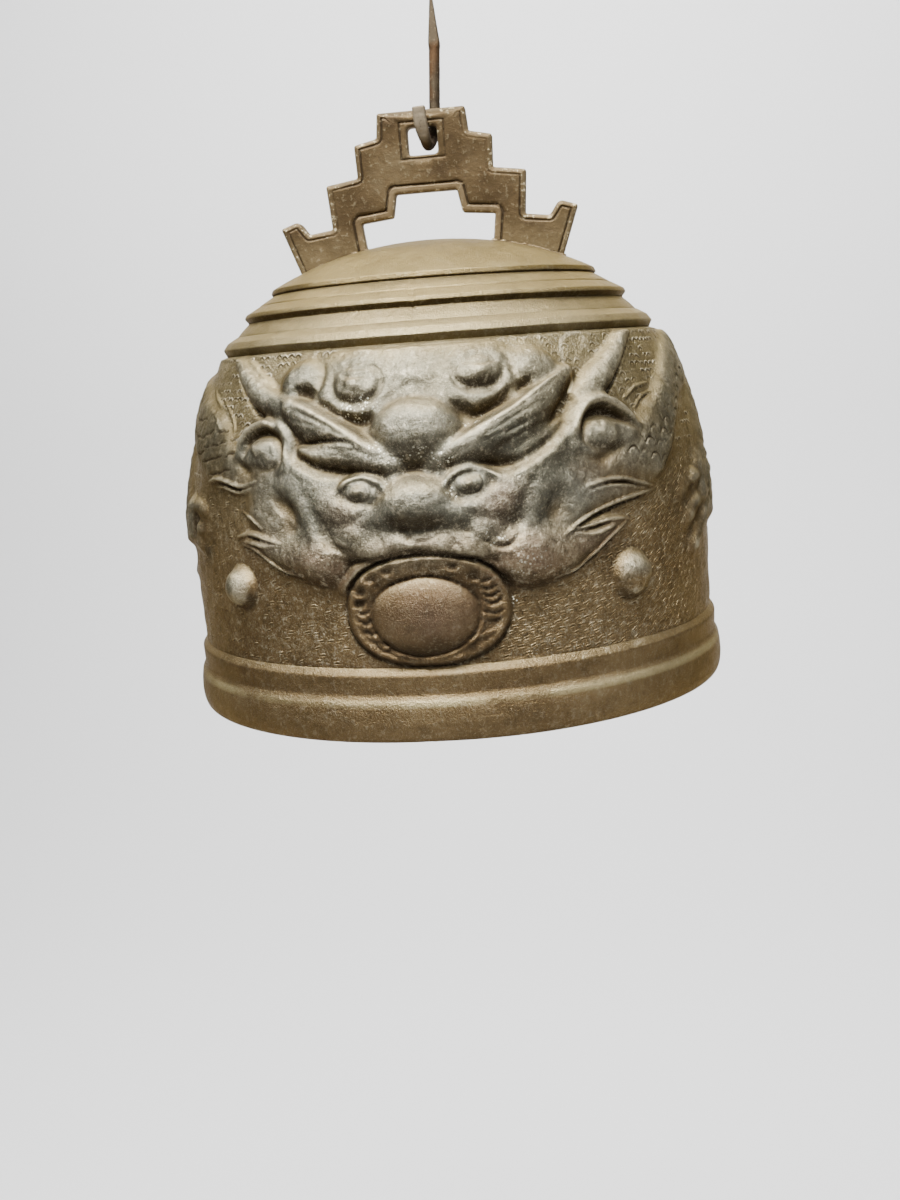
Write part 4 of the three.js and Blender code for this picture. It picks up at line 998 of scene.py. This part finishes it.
def hook_wire():
    bent = spline(HOOK_LINE, SPAN_POINTS)[0]
    tang = [(*HOOK_LINE[0][:2], z) for z in np.linspace(TANG_TOP, 237.9, SPAN_POINTS)]
    line = np.vstack([tang, bent])
    reach = np.concatenate([[0], np.cumsum(np.linalg.norm(np.diff(line, axis=0), axis=1))])
    end = reach[-1] - reach
    ahead = unit(np.gradient(line, axis=0))
    side = unit((1.0, 0, 0) - ahead[:, :1] * ahead)
    tip = smoothstep(*FLAT_TIP, end)
    in_tang = smoothstep(*TURNS_SQUARE, line[:, 2])
    taper = 1 - TANG_TAPER * np.clip((line[:, 2] - TANG_FOOT) / (TANG_TOP - TANG_FOOT), 0, 1)
    swell = in_tang * (TANG_HALF * taper - WIRE_RADIUS)
    wide, deep = WIRE_RADIUS + tip * 0.4 + swell, WIRE_RADIUS - tip * 0.35 + swell
    squareness = (2 + 2.5 * tip + 6 * in_tang)[:, None]
    angle = np.arange(WIRE_SIDES) / WIRE_SIDES * 2 * math.pi
    c, s = np.cos(angle), np.sin(angle)
    radius = (np.abs(c) ** squareness + np.abs(s) ** squareness) ** (-1 / squareness)
    radius *= np.minimum(1 + 0.022 * np.clip(speckle((len(line), WIRE_SIDES), 3), -2, 2), 1.0)
    blunt = np.sqrt(np.clip(1 - np.clip(1 - end / 0.7, 0, 1) ** 2, 0, 1)) * 0.2 + 0.8
    across, upward = c * radius * (wide * blunt)[:, None], s * radius * (deep * blunt)[:, None]
    points = tube(line, side, np.cross(ahead, side), across, upward)
    last = (len(line) - 1) * WIRE_SIDES
    caps = [list(range(WIRE_SIDES))[::-1], [last + k for k in range(WIRE_SIDES)]]
    mesh_piece("hook_wire", points, grid_faces(len(line), WIRE_SIDES, tube=True) + caps, HOOK, hook_iron,
               leg=np.repeat(smoothstep(*RUBBED_TIP, end), WIRE_SIDES))


# Materials

class Field:
    """A number, colour or place that varies over a surface: one output of a node."""

    def __init__(self, socket):
        self.socket = socket
        self.tree = socket.id_data

    def __add__(self, other):
        return maths("ADD", self, other)

    def __sub__(self, other):
        return maths("SUBTRACT", self, other)

    def __rsub__(self, other):
        return maths("SUBTRACT", other, self)

    def __mul__(self, other):
        return maths("MULTIPLY", self, other)

    def __truediv__(self, other):
        return maths("DIVIDE", self, other)

    def noise(self, scale, detail=4.0, roughness=0.6):
        return node(self.tree, "ShaderNodeTexNoise", "Fac",
                    {"Vector": self, "Scale": scale, "Detail": detail, "Roughness": roughness})

    def parts(self, kind, names):
        return [node(self.tree, kind, name, {0: self}) for name in names]

    def ramp(self, low, high, first=0.0, last=1.0):
        ends = {"From Min": low, "From Max": high, "To Min": first, "To Max": last}
        return node(self.tree, "ShaderNodeMapRange", "Result", {"Value": self, **ends},
            interpolation_type="SMOOTHSTEP")

    def hump(self, middle, half):
        """One at the middle, falling to nothing at the given half width."""
        off = (self - middle) / half
        return maths("SUBTRACT", 1.0, off * off, clamp=True)

    def mix(self, a, b):
        """The first colour where this is nothing, the second where it is one."""
        a, b = ((*colour, 1.0) if isinstance(colour, tuple) else colour for colour in (a, b))
        return node(self.tree, "ShaderNodeMix", 2, {0: self, 6: a, 7: b}, data_type="RGBA")


def node(tree, kind, output, inputs, **settings):
    """One output of a new node, whose inputs are fields or constants."""
    made = tree.nodes.new(kind)
    for key, value in settings.items():
        setattr(made, key, value)
    for key, value in inputs.items():
        if isinstance(value, Field):
            tree.links.new(value.socket, made.inputs[key])
        else:
            made.inputs[key].default_value = value
    return Field(made.outputs[output])


def maths(operation, a, b=0.0, clamp=False):
    tree = a.tree if isinstance(a, Field) else b.tree
    return node(tree, "ShaderNodeMath", 0, {0: a, 1: b}, operation=operation, use_clamp=clamp)


def new_material(name, *attributes):
    """A material with its place field and the named values of its pieces."""
    material = bpy.data.materials.new(name)
    material.use_nodes = True
    tree = material.node_tree
    tree.nodes.clear()
    place = node(tree, "ShaderNodeTexCoord", "Object", {})
    values = [node(tree, "ShaderNodeAttribute", "Fac", {}, attribute_name=field) for field in attributes]
    return material, place, *values


def layered(base, *layers):
    """Colours laid over a base one after another, each given with its share."""
    for share, colour in layers:
        base = share.mix(base, colour)
    return base


def finished(material, base, rough, metallic=0.0, tint=(1.0, 1.0, 1.0), bumps=()):
    """The shader with its bumps, given as (height, strength, distance) from the coarsest to the finest."""
    tree = material.node_tree
    inputs = {"Base Color": base if isinstance(base, Field) else (*base, 1.0), "Roughness": rough,
              "Metallic": metallic, "Specular Tint": (*tint, 1.0)}
    for height, strength, distance in bumps:
        normal = {"Normal": inputs["Normal"]} if "Normal" in inputs else {}
        bump = {"Strength": strength, "Distance": distance, "Height": height, **normal}
        inputs["Normal"] = node(tree, "ShaderNodeBump", 0, bump)
    shader = node(tree, "ShaderNodeBsdfPrincipled", 0, inputs)
    output = tree.nodes.new("ShaderNodeOutputMaterial")
    tree.links.new(shader.socket, output.inputs["Surface"])
    return material


MATT_METAL = 0.6
MATT_TINT = (0.42, 0.34, 0.22)


def punch_cells(u, v, pitch, salt):
    """Staggered cells: the place within each in millimetres, and three random numbers that keep to it."""
    row = maths("FLOOR", v / pitch[1])
    column_at = u / pitch[0] + maths("FLOORED_MODULO", row, 2.0) * 0.5
    column = maths("FLOOR", column_at)
    cell = node(u.tree, "ShaderNodeCombineXYZ", 0, {0: column, 1: row, 2: salt})
    colour = node(u.tree, "ShaderNodeTexWhiteNoise", "Color", {"Vector": cell}, noise_dimensions="3D")
    luck = colour.parts("ShaderNodeSeparateColor", ("Red", "Green", "Blue"))
    across = (column_at - column - 0.5) * pitch[0] + (luck[0] - 0.5) * (0.24 * pitch[0])
    upward = v - (row + 0.5) * pitch[1] + (luck[1] - 0.5) * (0.30 * pitch[1])
    return across, upward, luck


def dashes(u, v):
    """Short slanting dashes, thick on the right and scattered on the left: the painted highlights on their
    ridges and the painted shadows under them.
    """
    across, upward, luck = punch_cells(u, v, (3.6, 2.45), 1.0)
    slant = luck[2] * 0.34 + u.ramp(50.0, 110.0, 0.04, 0.45)
    height = upward - slant * across + across * across * 0.10
    kept = maths("LESS_THAN", luck[0], u.ramp(-10.0, 40.0, 0.3, 0.88))
    long = across.hump(0.0, 1.4) * kept * luck[1].ramp(0.0, 1.0, 0.5, 1.0)
    return long * height.hump(0.0, 0.28), long * height.hump(-0.50, 0.38)


def crescents(u, v):
    """Small punched crescents, arched upwards: the painted highlights on their lips and the painted shade in
    their cuts.
    """
    across, upward, luck = punch_cells(u, v, (3.5, 2.7), 2.0)
    wide, tall = across / 1.35, (upward + 0.35) / 1.15
    reach = maths("SQRT", wide * wide + tall * tall)
    kept = luck[2].ramp(0.2, 0.8)
    cut = reach.hump(0.80, 0.42) * upward.ramp(-0.5, 0.0) * kept
    lip = reach.hump(1.35, 0.34) * upward.ramp(-0.2, 0.4) * kept
    return lip, cut


def shell_bronze():
    """Brown bronze with a grey-green patina on the carving, painted shade in the recesses and under the
    forms, painted highlights on ridges and upper slopes, and a golden rim and shoulder.
    """
    names = ("height", "cavity", "stain", "blush", "deposit", "facing", "bare")
    material, place, *values = new_material("patinated_bronze", *names)
    height, cavity, stain, blush, deposit, facing, bare = values
    x, y, up = place.parts("ShaderNodeSeparateXYZ", "XYZ")
    angle = maths("ARCTAN2", x - AXIS_X, AXIS_Y - y)
    u, v = angle * RELIEF_RADIUS, (up - RIM_Z) * 1000.0
    patch = place.noise(26.0, 6.0, 0.62)
    cloud = place.noise(9.0, 3.0, 0.5)
    mottle = place.noise(130.0, 5.0, 0.65)
    sand = place.noise(420.0, 4.0, 0.7)
    grain = place.noise(1300.0, 3.0, 0.7)
    fleck = place.noise(2600.0, 2.0, 0.6)
    blotches = patch.ramp(0.3, 0.7)

    # The grey-green patina lies on the upper carving, the flanks and the bosses. The struck disc is brown.
    side = maths("ABSOLUTE", maths("SINE", angle))
    patinated = maths("MAXIMUM", up.ramp(RIM_Z + 0.050, RIM_Z + 0.076), side.ramp(0.76, 0.84))
    patinated = maths("MAXIMUM", patinated, side.hump(0.67, 0.06) * v.hump(54.0, 7.0))
    proud = height.ramp(0.8, 3.6)
    struck = side.ramp(0.30, 0.18) * v.hump(43.0, 21.0)
    brown = blotches.mix((0.101, 0.067, 0.031), (0.157, 0.109, 0.053))
    khaki = blotches.mix((0.142, 0.113, 0.056), (0.218, 0.180, 0.098))
    slate = blotches.mix((0.085, 0.083, 0.062), (0.180, 0.172, 0.132))
    golden = blotches.mix((0.092, 0.064, 0.020), (0.172, 0.122, 0.042))
    # colours for the darker bluer patina and for the painted shade under the forms
    stained = struck.ramp(0.0, 0.3).mix((0.032, 0.032, 0.024), (0.038, 0.024, 0.012))
    base = layered(up.ramp(RIM_Z + 0.05, RIM_Z + 0.128).mix(brown, khaki),
                   (proud * patinated * cloud.ramp(0.3, 0.6, 0.6, 1.0), slate),
                   (blush * 0.75, (0.165, 0.112, 0.075)),
                   (struck * 0.5, (0.068, 0.042, 0.023)),
                   # painted shade under the nose, lip, brows, bosses and paws, laid with the darker bluer
                   # patina
                   (stain.ramp(0.1, 1.0, 0, 0.82), stained),
                   (up.ramp(RIM_Z + 0.128, RIM_Z + 0.150) * 0.92, golden))

    # Painted shade darkens hollows and downward-facing slopes, painted highlights brighten ridges and
    # upward-facing slopes, over a mottle of light and dark metal.
    dark = cavity.ramp(-0.05, -1.0)
    base = layered(base,
                   (mottle.ramp(0.54, 0.70, 0, 0.16), (0.27, 0.225, 0.14)),
                   (mottle.ramp(0.48, 0.32, 0, 0.30), (0.045, 0.032, 0.018)),
                   (dark * 0.88, (0.018, 0.012, 0.007)),
                   (facing.ramp(-0.08, -0.80) * 0.74, (0.028, 0.020, 0.011)),
                   (cavity.ramp(0.2, 1.2) * 0.55, (0.44, 0.385, 0.255)),
                   (facing.ramp(0.2, 0.9) * 0.34, (0.37, 0.295, 0.155)))

    # A painted highlight runs along the lower band's top edge. Three places on the upper ledge are worn
    # bright.
    edge = v.hump(LOWER_BAND_TOP - 0.1, 1.7) * patch.ramp(0.35, 0.6, 0.1, 0.55)
    worn = u.hump(50.0, 4.0)
    for at, half in ((62.0, 2.6), (75.0, 4.0)):
        worn = maths("MAXIMUM", worn, u.hump(at, half))
    worn = worn * v.hump(UPPER_BAND_TOP + 1.2, 1.3) * sand.ramp(0.46, 0.62, 0, 0.6)

    # Fine grains of light and dark show most where the metal is rubbed.
    covered = maths("MINIMUM", stain + struck, 1.0)
    rubbed = (maths("MAXIMUM", proud, bare) * 0.5 + 0.3) * (1.0 - covered * 0.65)
    base = layered(base,
                   # painted highlight along the lower band's top edge
                   (edge, (0.48, 0.41, 0.22)),
                   (worn, (0.58, 0.50, 0.31)),
                   (sand.ramp(0.53, 0.68) * (rubbed * 0.5), (0.42, 0.37, 0.26)),
                   (sand.ramp(0.48, 0.32) * (rubbed * 0.6), (0.030, 0.024, 0.015)),
                   (grain.ramp(0.54, 0.70) * (rubbed * 0.5), (0.44, 0.39, 0.26)),
                   (grain.ramp(0.47, 0.30) * (rubbed * 0.7), (0.026, 0.019, 0.010)))

    # The bare ground is punched: dashes below, crescents above, each with painted highlights on its raised
    # edge and painted shade below or in it. Pale specks lie where old polish gathered.
    v_wavy = v + place.noise(28.0, 1.0) * 2.4
    ridge, shadow = dashes(u, v_wavy)
    lip, cut = crescents(u, v_wavy)
    upper = v.ramp(80.0, 90.0)
    low_share = bare * (1.0 - upper)
    high_share = bare * upper * cloud.ramp(0.35, 0.55, 0.4, 1.0)
    spots = node(place.tree, "ShaderNodeTexVoronoi", "Distance", {"Vector": place, "Scale": 900.0})
    spots = spots.ramp(0.40, 0.22) * place.noise(340.0).ramp(0.48, 0.54)
    base = layered(base,
                   (ridge * low_share * sand.ramp(0.35, 0.6, 0.15, 0.7), (0.34, 0.28, 0.17)),
                   (shadow * low_share * 0.6, (0.035, 0.022, 0.010)),
                   (lip * high_share * 0.55, (0.50, 0.45, 0.33)),
                   (cut * high_share * 0.80, (0.036, 0.027, 0.015)),
                   (spots * maths("MINIMUM", deposit, 1.0), (0.78, 0.76, 0.60)))
    punched = (ridge - shadow) * low_share + (lip - cut) * high_share
    rough = mottle.ramp(0.3, 0.7, 0.33, 0.44) + dark.ramp(0, 1, 0, 0.2)
    bumps = ((punched, 1.0, 0.0003), (sand, 0.45, 0.0006), (grain, 0.7, 0.0004), (fleck, 0.5, 0.00015))
    return finished(material, base, rough, 0.88, (0.50, 0.41, 0.28), bumps)


def plate_bronze():
    """Taupe bronze, matt and mottled, with painted shade in the cut lines and paler edges."""
    material, place, cavity, band = new_material("crest_bronze", "cavity", "band")
    patch, cloud = place.noise(34.0, 5.0, 0.6), place.noise(80.0, 4.0, 0.6)
    grain, fleck = place.noise(520.0, 4.0, 0.7), place.noise(1500.0, 2.0, 0.6)
    up = place.parts("ShaderNodeSeparateXYZ", "Z")[0]
    edge = maths("ADD", cavity.ramp(0.1, 0.7), 0.15, clamp=True)
    base = layered(patch.ramp(0.35, 0.65).mix((0.037, 0.024, 0.011), (0.067, 0.046, 0.022)),
                   (up.ramp(RIM_Z + 0.178, RIM_Z + 0.158, 0, 0.6), (0.120, 0.090, 0.046)),
                   (cloud.ramp(0.52, 0.70, 0, 0.35), (0.085, 0.068, 0.040)),
                   (cloud.ramp(0.42, 0.30, 0, 0.4), (0.03, 0.019, 0.011)),
                   (band * 0.45, (0.135, 0.096, 0.051)),
                   (cavity.ramp(0.2, 1.0, 0, 0.4), (0.20, 0.155, 0.09)),
                   # painted shade in the cut lines
                   (cavity.ramp(-0.1, -0.9, 0, 0.78), (0.014, 0.009, 0.005)),
                   (grain.ramp(0.54, 0.68) * edge, (0.40, 0.34, 0.21)),
                   (grain.ramp(0.45, 0.3, 0, 0.5), (0.04, 0.027, 0.016)))
    bumps = ((grain, 0.5, 0.0004), (fleck, 0.3, 0.00015))
    return finished(material, base, cloud.ramp(0.3, 0.7, 0.46, 0.60), MATT_METAL, MATT_TINT, bumps)


def forged_iron():
    """Dark forged iron, rusty in patches, rubbed paler and browner on the front leg."""
    material, place, leg = new_material("dark_iron", "leg")
    patch = place.noise(120.0, 5.0, 0.65)
    cloud = place.noise(45.0, 3.0, 0.5)
    grain = place.noise(900.0, 4.0, 0.7)
    base = layered(patch.mix((0.020, 0.015, 0.010), (0.060, 0.045, 0.028)),
                   (cloud.ramp(0.5, 0.64, 0, 0.6), (0.085, 0.040, 0.016)),
                   (leg, patch.mix((0.085, 0.066, 0.042), (0.20, 0.165, 0.115))),
                   (grain.ramp(0.56, 0.7, 0, 0.5), (0.20, 0.16, 0.10)),
                   (grain.ramp(0.44, 0.3, 0, 0.6), (0.012, 0.008, 0.005)))
    bumps = ((patch, 0.7, 0.0005), (grain, 0.4, 0.0002))
    return finished(material, base, patch.ramp(0.3, 0.7, 0.5, 0.72), MATT_METAL, MATT_TINT, bumps)


bronze = shell_bronze()
crest_bronze = plate_bronze()
hook_iron = forged_iron()


# Camera, light and floor

CAMERA_YAW = -0.29
CAMERA_PITCH = -9.98
CAMERA_ROLL = -4.27
CAMERA_TURN = 6.0
CAMERA_REACH = 0.5347
CAMERA_HEIGHT = 0.1237
CAMERA_LENS = 41.36
FLOOR_DROP = 0.8
FLOOR_REACH = 5.0
FLOOR_BACK = 2.4
FLOOR_BEND = 0.8
BACKDROP_RISE = 3.0


def linked(name, data):
    """A new object in the scene."""
    made = bpy.data.objects.new(name, data)
    bpy.context.scene.collection.objects.link(made)
    return made


def photo_camera():
    yaw, pitch, roll = (math.radians(a) for a in (CAMERA_YAW, CAMERA_PITCH, CAMERA_ROLL))
    forward = Vector((math.sin(yaw) * math.cos(pitch), math.cos(yaw) * math.cos(pitch), math.sin(pitch)))
    level = Vector((math.cos(yaw), -math.sin(yaw), 0))
    above = level.cross(forward)
    right = level * math.cos(roll) + above * math.sin(roll)
    up = above * math.cos(roll) - level * math.sin(roll)
    turn = Matrix.Rotation(math.radians(CAMERA_TURN), 3, "Z")
    place = turn @ Vector((0, -CAMERA_REACH, 0)) + Vector((AXIS_X, AXIS_Y, RIM_Z + CAMERA_HEIGHT))
    camera = linked("photo_camera", bpy.data.cameras.new("photo_camera"))
    camera.data.lens = CAMERA_LENS
    camera.data.sensor_width = 36.0
    camera.data.clip_start = 0.01
    matrix = Matrix.Identity(4)
    for column, axis in enumerate((turn @ right, turn @ up, turn @ -forward, place)):
        matrix.col[column][:3] = axis
    camera.matrix_world = matrix
    bpy.context.scene.camera = camera


def area_light(name, place, target, size, power):
    light = linked(name, bpy.data.lights.new(name, "AREA"))
    light.data.shape = "RECTANGLE"
    light.data.size, light.data.size_y = size
    light.data.energy = power
    light.location = place
    light.rotation_euler = (Vector(target) - Vector(place)).to_track_quat("-Z", "Y").to_euler()


def studio():
    middle = (AXIS_X, AXIS_Y, RIM_Z + 0.09)
    area_light("key_above", (-0.12, -0.52, 0.66), middle, (0.8, 0.4), 50)
    area_light("front", (0.1, -1.2, 0.62), middle, (1.2, 0.6), 7)
    area_light("top", (0.0, 0.1, 0.7), middle, (0.8, 0.6), 6)
    area_light("fill_left", (-0.9, -0.5, 0.1), middle, (0.4, 0.7), 2.5)
    area_light("fill_right", (0.95, -0.4, 0.15), middle, (0.4, 0.7), 3)
    area_light("backdrop_wash", (0, 0.9, 1.2), (0, 2.2, -0.5), (2.4, 0.6), 90)
    world = bpy.data.worlds.new("studio")
    world.use_nodes = True
    sky = world.node_tree.nodes["Background"]
    sky.inputs[0].default_value = (0.9, 0.92, 0.95, 1)
    sky.inputs[1].default_value = 0.08
    bpy.context.scene.world = world


def pale_floor():
    """A floor that bends up into a backdrop."""
    floor_z, bend_y = RIM_Z - FLOOR_DROP, FLOOR_BACK - FLOOR_BEND
    profile = [(-FLOOR_REACH, floor_z), (bend_y, floor_z)]
    for a in (k / 12 * math.pi / 2 for k in range(1, 13)):
        profile.append((bend_y + FLOOR_BEND * math.sin(a), floor_z + FLOOR_BEND * (1 - math.cos(a))))
    profile.append((FLOOR_BACK, floor_z + BACKDROP_RISE))
    mesh = bpy.data.meshes.new("floor")
    points = [(x, y, z) for y, z in profile for x in (-FLOOR_REACH, FLOOR_REACH)]
    mesh.from_pydata(points, [], grid_faces(len(profile), 2))
    mesh.shade_smooth()
    mesh.materials.append(finished(new_material("pale_floor")[0], (0.86, 0.86, 0.86), 0.6))
    linked("floor", mesh)


photo_camera()
studio()
pale_floor()
body_panels()
shoulder()
foot_and_inside()
crest_plate()
solder()
hook_wire()

bpy.context.view_layer.update()
